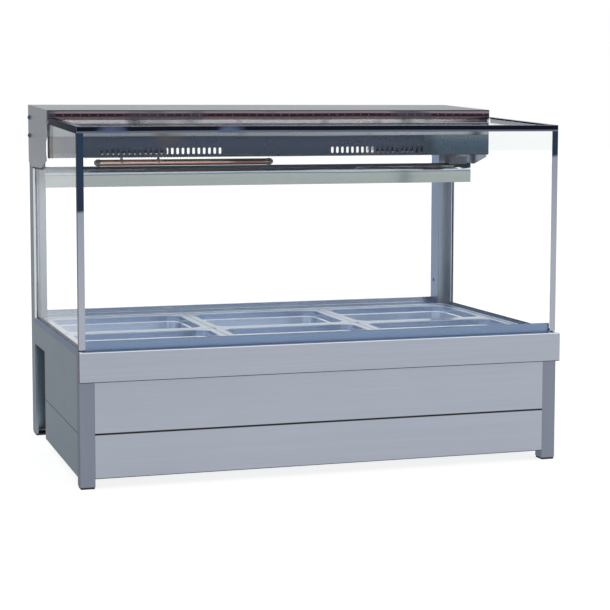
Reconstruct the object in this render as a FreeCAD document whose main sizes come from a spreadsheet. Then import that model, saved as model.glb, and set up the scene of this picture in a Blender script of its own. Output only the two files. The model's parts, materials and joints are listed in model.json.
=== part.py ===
import FreeCAD, Part
import math
import os
import re
import Sketcher

# Heated food display case: a benchtop cabinet with a heated well for six lift-out pans, a square glass
# case on top of it, and a lamp canopy carried by two rear posts.
# Frame: X to the right, Y to the back (the servers' side), Z up, millimetres.
# The origin is the middle of the footprint, on the surface that the case stands on.

Vector = FreeCAD.Vector

# Driving sizes: each can be changed by itself.
SIZES = {
    # whole case
    "width": 1030, "depth": 630, "height": 760,
    "side_inset": 2, "sheet": 1.2, "fit_gap": 0.3,
    # legs, posts and feet
    "leg_size": 30, "post_depth": 45, "leg_wall": 1.5, "foot_height": 4, "foot_margin": 1,
    # base panels
    "deck_height": 274, "fascia_height": 60, "fascia_depth": 14, "fascia_return": 12,
    "panel_bottom": 20, "panel_seam": 109, "seam_gap": 1.2, "panel_fold": 14,
    "band_bottom": 215, "rear_recess": 187,
    # pans, the bars between them and the well that they hang in
    "pan_length": 325, "pan_width": 265, "pan_depth": 65, "pan_wall": 1, "pan_rim": 12,
    "pan_corner": 30, "pan_shoulder": 15, "pan_step": 3, "pan_draft": 4, "pan_fillet": 12,
    "bar_face": 6, "bar_shoulder": 8, "bar_sheet": 1.5, "bar_web": 12,
    "well_forward": 11, "well_step": 3, "ledge": 11, "deck_sheet": 1.5, "tank_height": 91,
    "tank_flange": 8, "rear_upstand": 12, "rear_roll": 5,
    "element_tube": 8, "element_height": 15, "element_margin": 45, "element_pitch": 70,
    "insulation": 20, "insulation_margin": 12,
    # glass case
    "glass": 4, "channel_width": 12, "channel_height": 10, "channel_wall": 1.5, "channel_lip": 4,
    "glass_setback": 5, "upstand_height": 18, "upstand_depth": 9, "trim_face": 13, "trim_wall": 1.5,
    "glass_front_top": 711, "glass_rise": 18, "rear_trim_depth": 28,
    "notch_gap": 14, "notch_drop": 4,
    # canopy
    "canopy_depth": 268, "canopy_drop": 14, "canopy_sheet": 1.5, "canopy_front_face": 29,
    "canopy_lip": 13, "canopy_apron": 60, "end_drop": 140, "end_chamfer": 18,
    "end_chamfer_length": 78, "end_setback": 5, "end_scallop": 20,
    # lamps
    "lamp_face": 45, "lamp_setback": 3, "lamp_brow": 28, "lamp_brow_slope": 8,
    "slot_width": 6, "slot_height": 14, "slot_pitch": 12, "slot_rise": 6,
    "slot_inner": 131, "end_cover_length": 160, "lamp_radius": 7, "lamp_length": 409,
    "lamp_low": 13, "lamp_axis": 58, "short_lamp": 225, "lamp_clip": 2,
    "reflector_radius": 32, "reflector_sheet": 1, "reflector_inner": 245, "reflector_outer": 490,
    "crossbar_width": 20, "crossbar_sheet": 2,
    # lower rail
    "rail_face": 28, "rail_round": 17, "rail_depth": 30, "rail_setback": 83, "rail_clear": 2,
    "rail_bottom": 577, "hanger_width": 24, "hanger_rise": 34,
    # controls on the servers' side
    "control_right": 380, "control_height": 92, "switch_pitch": 60, "switch_width": 15,
    "switch_height": 22, "switch_border": 3, "switch_depth": 16, "rocker_tilt": 10,
    "knob_skirt": 22, "knob_grip": 14, "knob_height": 18, "knob_flange": 4, "stem_radius": 3,
    "stem_gap": 0.05, "bush_radius": 5.5, "thermostat_size": 40, "thermostat_depth": 30,
    "screw_head": 4, "screw_shank": 2, "screw_inset": 18, "nut_radius": 5, "stud_radius": 2.5,
    "nut_rear": 23, "nut_top": 29, "nut_spacing": 41,
    "gland_radius": 9, "terminal_length": 50, "terminal_depth": 20, "terminal_height": 18,
}
COLUMNS, ROWS, SLOTS = 3, 2, 23

# Places and sizes that follow from the driving ones.
DERIVED = {
    "front": "-depth / 2",
    "back": "depth / 2",
    "side": "width / 2 - side_inset",
    "leg_front": "front + fascia_depth",
    "leg_inner": "side - leg_size",
    "post_front": "back - post_depth",
    "deck_under": "deck_height - deck_sheet",
    "channel_inner": "side - channel_width",
    "channel_bottom": "deck_height - channel_height",
    "upper_panel_bottom": "panel_seam + seam_gap / 2",
    "lower_panel_top": "panel_seam - seam_gap / 2",
    "cabinet_back": "back - rear_recess",
    "pitch_x": "pan_length + bar_face",
    "pitch_y": "pan_width + bar_face",
    "well_x": "(pitch_x * 3 - bar_face) / 2 + 1",
    "well_y": "(pitch_y * 2 - bar_face) / 2 + 1",
    "ledge_top": "deck_height - well_step",
    "ledge_bottom": "ledge_top - deck_sheet",
    "well_mid": "-well_forward",
    "ledge_x": "well_x - ledge",
    "ledge_y": "well_y - ledge",
    "tank_flange_x": "ledge_x + tank_flange",
    "tank_flange_y": "ledge_y + tank_flange",
    "tank_bottom": "ledge_bottom - tank_height + deck_sheet",
    "glass_outer": "side - 2",
    "glass_front_y": "leg_front + glass_setback",
    "canopy_front": "back - canopy_depth",
    "glass_slope": "glass_rise / (canopy_front - glass_front_y)",
    "glass_rear_top": "glass_front_top + glass_rise",
    "canopy_front_top": "height - canopy_drop",
    "canopy_slope": "canopy_drop / canopy_depth",
    "canopy_front_low": "canopy_front_top - canopy_front_face",
    "end_bottom": "height - end_drop",
    "end_front": "canopy_front + end_setback",
    "end_chamfer_top": "end_bottom + end_chamfer",
    "notch_y": "end_front - notch_gap",
    "notch_low": "end_bottom - notch_drop",
    "lamp_y": "canopy_front + lamp_setback",
    "lamp_top": "canopy_front_low - lamp_brow",
    "lamp_bottom": "lamp_top - lamp_face",
    "lamp_centre": "canopy_front + lamp_axis",
    "reflector_top": "lamp_bottom + reflector_radius",
    "rail_y": "canopy_front + rail_setback",
    "rail_half": "channel_inner + channel_width / 2 - rail_clear",
    "rail_top": "rail_bottom + rail_face + rail_round",
    "slot_low": "lamp_bottom + slot_rise",
    "trim_outer": "glass_outer + trim_wall",
    "trim_front": "glass_front_y - trim_wall",
    "knob_z": "panel_bottom + control_height",
}

doc = FreeCAD.newDocument("FoodDisplayCase")
dims = doc.addObject("Spreadsheet::Sheet", "Dims")
for row, (alias, value) in enumerate(SIZES.items(), start=1):
    dims.set(f"A{row}", alias.replace("_", " "))
    dims.set(f"B{row}", str(value))
    dims.setAlias(f"B{row}", alias)
doc.recompute()

sub_parts = []


def expand(text):
    """Spells a size expression out in the spreadsheet's cells."""
    def word(match):
        name = match.group()
        if name in SIZES:
            return "Dims." + name
        return "(" + expand(DERIVED[name]) + ")" if name in DERIVED else name
    return re.sub(r"[a-z_]+", word, str(text))


def value(text):
    """The number that a size expression gives now."""
    return float(dims.evalExpression(expand(text)))


def bind(item, path, text):
    item.setExpression(path, expand(text))


def keep(item, label):
    """Names a finished sub-part and lists it for export."""
    item.Label = label
    sub_parts.append(item)
    return item


# ---- PartDesign helpers ----------------------------------------------------------------------------

PLANES = {"x": "YZ_Plane", "y": "XZ_Plane", "z": "XY_Plane"}


def new_body(label):
    return keep(doc.addObject("PartDesign::Body", label), label)


def new_sketch(body, axis, offset):
    """A sketch square to an axis of the frame; its normal is +X, -Y or +Z."""
    plane = next(f for f in body.Origin.OriginFeatures if f.Role == PLANES[axis])
    sketch = body.newObject("Sketcher::SketchObject", "Sketch")
    sketch.AttachmentSupport = [(plane, "")]
    sketch.MapMode = "FlatFace"
    bind(sketch, ".AttachmentOffset.Base.z", f"-({offset})" if axis == "y" else offset)
    return sketch


def fix_point(sketch, geometry, point, across, up):
    """Holds one point of a sketch at a pair of size expressions."""
    for direction, text in (("X", across), ("Y", up)):
        name = f"{direction.lower()}_{geometry}_{point}"
        index = sketch.addConstraint(
            Sketcher.Constraint("Distance" + direction, -1, 1, geometry, point, value(text)))
        sketch.renameConstraint(index, name)
        bind(sketch, "Constraints." + name, text)


def fix_radius(sketch, geometry, text):
    index = sketch.addConstraint(Sketcher.Constraint("Radius", geometry, value(text)))
    sketch.renameConstraint(index, f"r_{geometry}")
    bind(sketch, f"Constraints.r_{geometry}", text)


def draw_polygon(sketch, corners):
    first = sketch.GeometryCount
    spots = [Vector(value(a), value(b), 0) for a, b in corners]
    count = len(spots)
    for i in range(count):
        sketch.addGeometry(Part.LineSegment(spots[i], spots[(i + 1) % count]), False)
    for i in range(count):
        following = first + (i + 1) % count
        sketch.addConstraint(Sketcher.Constraint("Coincident", first + i, 2, following, 1))
    for i, (across, up) in enumerate(corners):
        fix_point(sketch, first + i, 1, across, up)


def draw_circle(sketch, across, up, radius):
    index = sketch.addGeometry(
        Part.Circle(Vector(value(across), value(up), 0), Vector(0, 0, 1), value(radius)), False)
    fix_point(sketch, index, 3, across, up)
    fix_radius(sketch, index, radius)


def draw_rounded(sketch, half_a, half_b, radius, centre_a="0", centre_b="0"):
    """A rectangle with round corners: four arcs joined by tangent lines."""
    a, b, r = value(half_a), value(half_b), value(radius)
    mid_a, mid_b = value(centre_a), value(centre_b)
    quarters = ((1, 1), (-1, 1), (-1, -1), (1, -1))
    for turn, (sign_a, sign_b) in enumerate(quarters):
        middle = Vector(mid_a + sign_a * (a - r), mid_b + sign_b * (b - r), 0)
        circle = Part.Circle(middle, Vector(0, 0, 1), r)
        sketch.addGeometry(
            Part.ArcOfCircle(circle, turn * math.pi / 2, (turn + 1) * math.pi / 2), False)
    for turn in range(4):
        start = sketch.getPoint(turn, 2)
        end = sketch.getPoint((turn + 1) % 4, 1)
        sketch.addGeometry(Part.LineSegment(start, end), False)
    for turn in range(4):
        sketch.addConstraint(Sketcher.Constraint("Tangent", turn, 2, 4 + turn, 1))
        sketch.addConstraint(Sketcher.Constraint("Tangent", (turn + 1) % 4, 1, 4 + turn, 2))
    for turn, (sign_a, sign_b) in enumerate(quarters):
        fix_point(sketch, turn, 3, f"{centre_a} + {sign_a} * ({half_a} - {radius})",
                  f"{centre_b} + {sign_b} * ({half_b} - {radius})")
        fix_radius(sketch, turn, radius)


def extrude(body, sketch, kind, length, taper=None):
    """Pads along the sketch's normal, or pockets against it, and checks that it did something."""
    doc.recompute()
    before = body.Shape.Volume if body.Tip else 0.0
    feature = body.newObject("PartDesign::" + kind, kind)
    feature.Profile = sketch
    bind(feature, "Length", length)
    if taper:
        bind(feature, "TaperAngle", taper)
    doc.recompute()
    change = body.Shape.Volume - before
    if change * (1 if kind == "Pad" else -1) < 1e-3:
        raise RuntimeError(f"{body.Label}: {kind} changed the volume by {change:.3f}")
    return feature


def prism(body, axis, corners, start, end):
    """Adds a polygon's prism from start to end along an axis."""
    sketch = new_sketch(body, axis, end if axis == "y" else start)
    draw_polygon(sketch, corners)
    return extrude(body, sketch, "Pad", f"({end}) - ({start})")


def cut_prism(body, axis, corners, start, end):
    """Takes a polygon's prism away from start to end along an axis."""
    sketch = new_sketch(body, axis, start if axis == "y" else end)
    draw_polygon(sketch, corners)
    return extrude(body, sketch, "Pocket", f"({end}) - ({start})")


def cut_holes(body, axis, centres, radius, start, end):
    sketch = new_sketch(body, axis, start if axis == "y" else end)
    for across, up in centres:
        draw_circle(sketch, across, up, radius)
    return extrude(body, sketch, "Pocket", f"({end}) - ({start})")


def box_corners(low_a, high_a, low_b, high_b):
    return [(low_a, low_b), (high_a, low_b), (high_a, high_b), (low_a, high_b)]


def around_well(half_x, half_y):
    """A rectangle centred on the well, given its half sizes."""
    return box_corners(f"-({half_x})", half_x, f"well_mid - ({half_y})", f"well_mid + ({half_y})")


def ring_prism(body, outer, inner, start, end):
    """A flat level ring between two outlines."""
    sketch = new_sketch(body, "z", start)
    draw_polygon(sketch, outer)
    draw_polygon(sketch, inner)
    return extrude(body, sketch, "Pad", f"({end}) - ({start})")


def sided(sign, inner, outer):
    """The stretch of X between two distances from the middle, on the right (1) or the left (-1)."""
    return (inner, outer) if sign > 0 else (f"-({outer})", f"-({inner})")


SIDES = (("left", -1), ("right", 1))


# ---- Part helpers ----------------------------------------------------------------------------------

def place(item, x, y, z):
    for axis, text in zip("xyz", (x, y, z)):
        bind(item, f".Placement.Base.{axis}", text)
    return item


def block(x0, x1, y0, y1, z0, z1):
    item = doc.addObject("Part::Box", "Block")
    bind(item, "Length", f"({x1}) - ({x0})")
    bind(item, "Width", f"({y1}) - ({y0})")
    bind(item, "Height", f"({z1}) - ({z0})")
    return place(item, x0, y0, z0)


TURNS = {"x": (Vector(0, 1, 0), 90), "y": (Vector(1, 0, 0), -90), "z": (Vector(0, 0, 1), 0)}


def rod(axis, x, y, z, radius, length, kind="Part::Cylinder"):
    """A round bar that starts at a point and runs along +axis."""
    item = doc.addObject(kind, "Rod")
    item.Placement = FreeCAD.Placement(Vector(), FreeCAD.Rotation(*TURNS[axis]))
    bind(item, "Radius", radius)
    bind(item, "Height", length)
    return place(item, x, y, z)


def ball(x, y, z, radius):
    item = doc.addObject("Part::Sphere", "Ball")
    bind(item, "Radius", radius)
    return place(item, x, y, z)


def fuse(items):
    item = doc.addObject("Part::MultiFuse", "Fusion")
    item.Shapes = items
    return item


def cut(base, tool):
    item = doc.addObject("Part::Cut", "Difference")
    item.Base, item.Tool = base, tool
    doc.recompute()
    if item.Shape.Volume > base.Shape.Volume - 1e-3:
        raise RuntimeError(f"{base.Label}: the cut removed nothing")
    return item


def group(items, label):
    """Separate solids that share one node."""
    item = doc.addObject("Part::Compound", label)
    item.Links = items
    return keep(item, label)


# ---- legs, posts and feet --------------------------------------------------------------------------

def front_leg(side, sign):
    """A square tube under the front corner of the deck."""
    body = new_body(f"leg_front_{side}")
    x0, x1 = sided(sign, "leg_inner", "side")
    back = "leg_front + leg_size"
    prism(body, "z", box_corners(x0, x1, "leg_front", back), "foot_height", "channel_bottom")
    cut_prism(body, "z", box_corners(f"{x0} + leg_wall", f"{x1} - leg_wall",
                                     "leg_front + leg_wall", f"{back} - leg_wall"),
              "foot_height", "channel_bottom")


def rear_post(side, sign):
    """A folded channel, open to the front, that runs from the foot up into the canopy."""
    body = new_body(f"post_{side}")
    x0, x1 = sided(sign, "leg_inner", "side")
    top = "height - canopy_sheet - canopy_slope * post_depth - 0.5"
    prism(body, "z", box_corners(x0, x1, "post_front", "back"), "foot_height", top)
    cut_prism(body, "z", box_corners(f"{x0} + leg_wall", f"{x1} - leg_wall",
                                     "post_front", "back - leg_wall"), "foot_height", top)
    lip = "leg_size / 5"
    for low, high in ((f"{x0} + leg_wall", f"{x0} + {lip}"), (f"{x1} - {lip}", f"{x1} - leg_wall")):
        prism(body, "z", box_corners(low, high, "post_front", "post_front + leg_wall"),
              "foot_height", "deck_height")


def post_cover(sign):
    """Closes the front of a rear post above the deck."""
    x0, x1 = sided(sign, "leg_inner + leg_wall", "side - leg_wall")
    return block(x0, x1, "post_front", "post_front + leg_wall", "deck_height",
                 "canopy_front_low")


def foot_pads():
    pads = []
    for _, sign in SIDES:
        x0, x1 = sided(sign, "leg_inner + foot_margin", "side - foot_margin")
        for y0, y1 in (("leg_front", "leg_front + leg_size"), ("post_front", "back")):
            pads.append(block(x0, x1, f"{y0} + foot_margin", f"{y1} - foot_margin", "0",
                              "foot_height"))
    group(pads, "foot_pads")


# ---- base panels -----------------------------------------------------------------------------------

def fascia_front():
    """The folded band that covers the front edge of the deck."""
    body = new_body("fascia_front")
    low = "deck_height - fascia_height"
    prism(body, "x", [
        ("front", low), ("front + fascia_return", low), ("front + fascia_return", f"{low} + sheet"),
        ("front + sheet", f"{low} + sheet"), ("front + sheet", "deck_height - sheet"),
        ("leg_front", "deck_height - sheet"), ("leg_front", "deck_height"),
        ("front", "deck_height")], "-width / 2", "width / 2")
    for start, end in (("-width / 2", "-width / 2 + sheet"), ("width / 2 - sheet", "width / 2")):
        prism(body, "x", box_corners("front + sheet", "front + fascia_return", f"{low} + sheet",
                                     "deck_height - sheet"), start, end)


def front_panel(label, low, high):
    """A front skin between the legs, folded back at its top and bottom edges."""
    body = new_body(label)
    face, fold = "leg_front", "leg_front + panel_fold"
    prism(body, "x", [
        (face, low), (fold, low), (fold, f"{low} + sheet"), (f"{face} + sheet", f"{low} + sheet"),
        (f"{face} + sheet", f"{high} - sheet"), (fold, f"{high} - sheet"), (fold, high),
        (face, high)], "-(leg_inner)", "leg_inner")


def upper_end_panel(side, sign):
    """An end skin: full height up to the cabinet's back, then a band that reaches the rear post."""
    body = new_body(f"panel_{side}_upper")
    front = "leg_front + leg_size"
    prism(body, "x", [
        (front, "upper_panel_bottom"), ("cabinet_back", "upper_panel_bottom"),
        ("cabinet_back", "band_bottom"), ("post_front", "band_bottom"),
        ("post_front", "channel_bottom"), (front, "channel_bottom")],
        *sided(sign, "side - sheet", "side"))


def lower_end_panels():
    plates = []
    for _, sign in SIDES:
        x0, x1 = sided(sign, "side - sheet", "side")
        plates.append(block(x0, x1, "leg_front + leg_size", "cabinet_back", "panel_bottom",
                            "lower_panel_top"))
    group(plates, "panels_end_lower")


def rear_apron():
    """The folded band between the posts along the servers' edge of the deck."""
    body = new_body("apron_rear")
    low = "deck_height - fascia_height"
    prism(body, "x", [
        ("back", low), ("back - panel_fold", low), ("back - panel_fold", f"{low} + sheet"),
        ("back - sheet", f"{low} + sheet"), ("back - sheet", "deck_under"), ("back", "deck_under")],
        "-(leg_inner)", "leg_inner")


SCREW_SPOTS = [(f"{sign} * (side - sheet - screw_inset)", height)
               for _, sign in SIDES
               for height in ("panel_bottom + screw_inset", "tank_bottom - screw_inset")]


def control_panel():
    """The cabinet's back, set in under the deck, with the openings for the controls."""
    body = new_body("control_panel")
    face = "cabinet_back - sheet"
    prism(body, "y", box_corners("-(side - sheet)", "side - sheet", "panel_bottom", "tank_bottom"),
          face, "cabinet_back")
    cut_holes(body, "y", [("control_right", "knob_z")], "bush_radius", face, "cabinet_back")
    cut_holes(body, "y", [("-control_right", "knob_z")], "gland_radius", face, "cabinet_back")
    cut_holes(body, "y", SCREW_SPOTS, "screw_shank", face, "cabinet_back")
    cut_holes(body, "y", [(PILOT_X, "knob_z")], "bush_radius", face, "cabinet_back")
    for centre in SWITCH_SPOTS:
        cut_prism(body, "y", box_corners(
            f"{centre} - switch_width / 2 - 1.5", f"{centre} + switch_width / 2 + 1.5",
            "knob_z - switch_height / 2 - 1.5", "knob_z + switch_height / 2 + 1.5"),
            face, "cabinet_back")


def panel_screws():
    screws = []
    for x, z in SCREW_SPOTS:
        head = rod("y", x, "cabinet_back", z, "screw_head", "screw_shank")
        shank = rod("y", x, "cabinet_back - 3", z, "screw_shank - fit_gap / 3", "3")
        screws.append(fuse([head, shank]))
    group(screws, "panel_screws")


def base_plate():
    """The floor of the cabinet, with its back edge folded up behind the control panel."""
    body = new_body("base_plate")
    prism(body, "x", [
        ("leg_front + panel_fold + 0.5", "panel_bottom"),
        ("cabinet_back - sheet", "panel_bottom"),
        ("cabinet_back - sheet", "panel_bottom + panel_fold"),
        ("cabinet_back - 2 * sheet", "panel_bottom + panel_fold"),
        ("cabinet_back - 2 * sheet", "panel_bottom + sheet"),
        ("leg_front + panel_fold + 0.5", "panel_bottom + sheet")],
        "-(side - sheet)", "side - sheet")
    for _, sign in SIDES:
        x0, x1 = sided(sign, "leg_inner", "side - sheet")
        cut_prism(body, "z", box_corners(x0, x1, "leg_front", "leg_front + leg_size"),
                  "panel_bottom", "panel_bottom + sheet")


# ---- deck, well and bars ---------------------------------------------------------------------------

def deck_surround():
    """The deck: a flat margin, a rolled edge at the back and a ledge in the well for the pans."""
    body = new_body("deck_surround")
    hole = around_well("well_x", "well_y")
    ring_prism(body, box_corners("-(channel_inner)", "channel_inner", "leg_front", "back"), hole,
               "deck_under", "deck_height")
    ring_prism(body, around_well("well_x + deck_sheet", "well_y + deck_sheet"), hole,
               "ledge_bottom", "deck_under")
    ring_prism(body, hole, around_well("ledge_x", "ledge_y"), "ledge_bottom", "ledge_top")
    face, lip = "back - deck_sheet", "back - rear_roll"
    top = "deck_height + rear_upstand"
    prism(body, "x", [
        (face, "deck_height"), ("back", "deck_height"), ("back", top), (lip, top),
        (lip, f"{top} - deck_sheet"), (face, f"{top} - deck_sheet")], "-(leg_inner)", "leg_inner")
    for _, sign in SIDES:
        x0, x1 = sided(sign, "leg_inner", "channel_inner")
        cut_prism(body, "z", box_corners(x0, x1, "post_front", "back"), "deck_under",
                  "deck_height")


def well_tank():
    """The open box that hangs under the ledge by a flange; the heating element lies on its floor."""
    body = new_body("well_tank")
    prism(body, "z", around_well("ledge_x + sheet", "ledge_y + sheet"),
          "tank_bottom", "ledge_bottom - sheet")
    prism(body, "z", around_well("tank_flange_x", "tank_flange_y"),
          "ledge_bottom - sheet", "ledge_bottom")
    cut_prism(body, "z", around_well("ledge_x", "ledge_y"), "tank_bottom + sheet", "ledge_bottom")
    for x in ("-(ledge_x) / 2", "0", "ledge_x / 2"):
        prism(body, "z", box_corners(f"{x} - 2", f"{x} + 2", "well_mid - (ledge_y - 20)",
                                     "well_mid + ledge_y - 20"),
              "tank_bottom + sheet", "tank_bottom + sheet + element_height - element_tube / 2")


def insulation():
    group([block("-(side - sheet - insulation_margin)", "side - sheet - insulation_margin",
                 "leg_front + leg_size + insulation_margin", "cabinet_back - sheet - 2",
                 "tank_bottom - insulation", "tank_bottom")], "well_insulation")


def heating_element():
    """A round sheathed element bent to and fro over the floor of the tank."""
    reach = value("ledge_x - element_margin")
    pitch = value("element_pitch")
    radius = pitch / 2
    level = value("tank_bottom + sheet + element_height")
    runs = 2 * (int(value("ledge_y - element_margin") / pitch)) + 1
    first = value("well_mid") - pitch * (runs - 1) / 2
    end = reach - radius
    edges = []
    for run in range(runs):
        y = first + run * pitch
        way = 1 if run % 2 == 0 else -1
        edges.append(Part.LineSegment(Vector(-way * end, y, level), Vector(way * end, y, level)))
        if run < runs - 1:
            edges.append(Part.Arc(Vector(way * end, y, level),
                                  Vector(way * (end + radius), y + radius, level),
                                  Vector(way * end, y + pitch, level)))
    path = Part.Wire([edge.toShape() for edge in edges])
    circle = Part.Circle(Vector(-end, first, level), Vector(1, 0, 0), value("element_tube") / 2)
    tube = path.makePipeShell([Part.Wire(circle.toShape())], True, False)
    item = doc.addObject("Part::Feature", "heating_element")
    item.Shape = tube
    keep(item, "heating_element")


def bar_profile(centre):
    """A bar between two pans: a narrow raised face, a shoulder for each rim and a web below."""
    top, low = "ledge_top + pan_wall", "ledge_top - bar_sheet"
    steps = [("(bar_face / 2 - fit_gap)", top), ("(bar_face / 2 - fit_gap)", "ledge_top"),
             ("(bar_face / 2 + bar_shoulder)", "ledge_top"), ("(bar_face / 2 + bar_shoulder)", low),
             ("bar_sheet / 2", low), ("bar_sheet / 2", f"{low} - bar_web")]
    right = [(f"{centre} + {reach}", level) for reach, level in steps]
    left = [(f"{centre} - {reach}", level) for reach, level in reversed(steps)]
    return right + left


def pan_bars():
    long_bars = []
    for column in range(COLUMNS - 1):
        body = doc.addObject("PartDesign::Body", "LongBar")
        centre = f"pitch_x * {column + 1 - COLUMNS / 2}"
        prism(body, "y", bar_profile(centre), "well_mid - ledge_y", "well_mid + ledge_y")
        long_bars.append(body)
    group(long_bars, "pan_bars_long")
    short_bars = []
    reach = "pitch_x / 2 - bar_face / 2 - bar_shoulder"
    for column in range(COLUMNS):
        body = doc.addObject("PartDesign::Body", "ShortBar")
        middle = f"pitch_x * {column - (COLUMNS - 1) / 2}"
        start, end = f"{middle} - ({reach})", f"{middle} + {reach}"
        if column == 0:
            start = "-(ledge_x)"
        if column == COLUMNS - 1:
            end = "ledge_x"
        prism(body, "x", bar_profile("well_mid"), start, end)
        short_bars.append(body)
    group(short_bars, "pan_bars_short")


# ---- pans ------------------------------------------------------------------------------------------

def pan_sketch(body, top, shrink):
    """The outline of a pan's wall at some height, shrunk from its full size under the rim."""
    sketch = new_sketch(body, "z", top)
    draw_rounded(sketch, f"(pan_length / 2 - fit_gap - pan_rim - {shrink})",
                 f"(pan_width / 2 - fit_gap - pan_rim - {shrink})", f"(pan_corner - {shrink})")
    return sketch


def grow_down(body, top, shrink, height, taper=None):
    """Adds one stage of a pan's wall below a height."""
    sketch = pan_sketch(body, top, shrink)
    pad = body.newObject("PartDesign::Pad", "Pad")
    pad.Profile = sketch
    pad.Reversed = True
    bind(pad, "Length", height)
    if taper:
        bind(pad, "TaperAngle", taper)
    doc.recompute()


def round_floor(body, level, radius):
    """Rounds the edges that lie level at a height."""
    names = [f"Edge{i}" for i, edge in enumerate(body.Shape.Edges, start=1)
             if max(abs(edge.BoundBox.ZMin - level), abs(edge.BoundBox.ZMax - level)) < 1e-4]
    base = body.Tip
    fillet = body.newObject("PartDesign::Fillet", "Fillet")
    fillet.Base = (base, names)
    bind(fillet, "Radius", radius)
    doc.recompute()


def pan(label, column, row):
    """A half-size steam-table pan: a flat rim, a stacking shoulder and drafted walls."""
    body = new_body(label)
    rim = new_sketch(body, "z", "0")
    draw_rounded(rim, "(pan_length / 2 - fit_gap)", "(pan_width / 2 - fit_gap)", "pan_rim")
    extrude(body, rim, "Pad", "pan_wall")
    low = "pan_depth - pan_shoulder"
    grow_down(body, "0", "0", "pan_shoulder")
    grow_down(body, "-pan_shoulder", "pan_step", low, "-pan_draft")
    extrude(body, pan_sketch(body, "pan_wall", "pan_wall"), "Pocket", "pan_shoulder")
    extrude(body, pan_sketch(body, "pan_wall - pan_shoulder", "(pan_step + pan_wall)"), "Pocket",
            low, "-pan_draft")
    round_floor(body, value("pan_wall - pan_depth"), "pan_fillet - pan_wall")
    round_floor(body, -value("pan_depth"), "pan_fillet")
    place(body, f"pitch_x * {column - (COLUMNS - 1) / 2}", f"well_mid + pitch_y * {row - (ROWS - 1) / 2}",
          "ledge_top + fit_gap")


# ---- glass case ------------------------------------------------------------------------------------

def glass_top_at(y, below="0"):
    """The height of the sloping glass top at a place along Y."""
    return f"glass_front_top + glass_slope * ({y} - glass_front_y) - {below}"


def glass_channels():
    """The two channels that hold the side glasses along the edges of the deck."""
    channels = []
    for _, sign in SIDES:
        body = doc.addObject("PartDesign::Body", "Channel")
        x0, x1 = sided(sign, "channel_inner", "side")
        floor = "channel_bottom + channel_wall"
        prism(body, "y", [
            (x0, "channel_bottom"), (x1, "channel_bottom"), (x1, "deck_height"),
            (f"{x1} - channel_wall", "deck_height"), (f"{x1} - channel_wall", floor),
            (f"{x0} + channel_wall", floor), (f"{x0} + channel_wall", "deck_height"),
            (x0, "deck_height")], "leg_front", "post_front")
        for low, high in ((x0, f"{x0} + channel_wall"), (f"{x1} - channel_wall", x1)):
            prism(body, "z", box_corners(low, high, "trim_front + trim_face",
                                         "post_front - rear_trim_depth"),
                  "deck_height", "deck_height + channel_lip")
        channels.append(body)
    group(channels, "glass_channels")


def glazing_strips():
    """Soft strips that fill the channels on both sides of the glass."""
    strips = []
    for _, sign in SIDES:
        for inner, outer in (("channel_inner + channel_wall", "glass_outer - glass"),
                             ("glass_outer", "side - channel_wall")):
            x0, x1 = sided(sign, inner, outer)
            strips.append(block(x0, x1, "leg_front + trim_face", "post_front - 1",
                                "channel_bottom + channel_wall", "deck_height - 0.5"))
    group(strips, "glazing_strips")


def front_upstand():
    """The folded upstand behind the foot of the front glass."""
    body = new_body("front_upstand")
    face = "glass_front_y + glass"
    rear = f"{face} + upstand_depth"
    top = "deck_height + upstand_height"
    prism(body, "x", [
        (face, "deck_height"), (f"{face} + sheet", "deck_height"), (f"{face} + sheet", f"{top} - sheet"),
        (f"{rear} - sheet", f"{top} - sheet"), (f"{rear} - sheet", "deck_height"),
        (rear, "deck_height"), (rear, top), (face, top)],
        "-(channel_inner - fit_gap)", "channel_inner - fit_gap")


def front_glass():
    group([block("-(glass_outer)", "glass_outer", "glass_front_y", "glass_front_y + glass",
                 "deck_height", glass_top_at("glass_front_y", "glass"))], "glass_front")


def side_glass(side, sign):
    """A side glass, cut away at the top of its rear edge to clear the canopy's end."""
    body = new_body(f"glass_{side}")
    front, rear = "glass_front_y + glass", "post_front - leg_wall"
    prism(body, "x", [
        (front, "channel_bottom + channel_wall"), (rear, "channel_bottom + channel_wall"),
        (rear, "notch_low"), ("end_front + end_chamfer_length", "notch_low"),
        ("notch_y", "notch_low + end_chamfer"), ("notch_y", glass_top_at("notch_y", "glass")),
        (front, glass_top_at(front, "glass"))], *sided(sign, "glass_outer - glass", "glass_outer"))


def top_glass():
    body = new_body("glass_top")
    prism(body, "x", [
        ("glass_front_y", glass_top_at("glass_front_y", "glass")),
        ("canopy_front", glass_top_at("canopy_front", "glass")),
        ("canopy_front", glass_top_at("canopy_front")),
        ("glass_front_y", glass_top_at("glass_front_y"))],
        "-(glass_outer)", "glass_outer")


def corner_trims():
    """Polished angles over the upright corners of the glass."""
    trims = []
    for _, sign in SIDES:
        body = doc.addObject("PartDesign::Body", "CornerTrim")
        out, inner = f"{sign} * (trim_outer)", f"{sign} * (trim_outer - trim_face)"
        skin = f"{sign} * (glass_outer)"
        prism(body, "z", [
            (out, "trim_front"), (inner, "trim_front"), (inner, "glass_front_y"),
            (skin, "glass_front_y"), (skin, "trim_front + trim_face"),
            (out, "trim_front + trim_face")], "deck_height + 2",
            "glass_front_top - trim_face + trim_wall")
        trims.append(body)
    group(trims, "corner_trims")


def top_trim_front():
    """The polished angle along the front edge of the glass top."""
    body = new_body("top_trim_front")
    back = "trim_front + trim_face"
    prism(body, "x", [
        ("trim_front", "glass_front_top - trim_face + trim_wall"),
        ("glass_front_y", "glass_front_top - trim_face + trim_wall"),
        ("glass_front_y", "glass_front_top"), (back, glass_top_at(back)),
        (back, glass_top_at(back, "-trim_wall")),
        ("trim_front", "glass_front_top + trim_wall")], "-(trim_outer)", "trim_outer")


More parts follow.
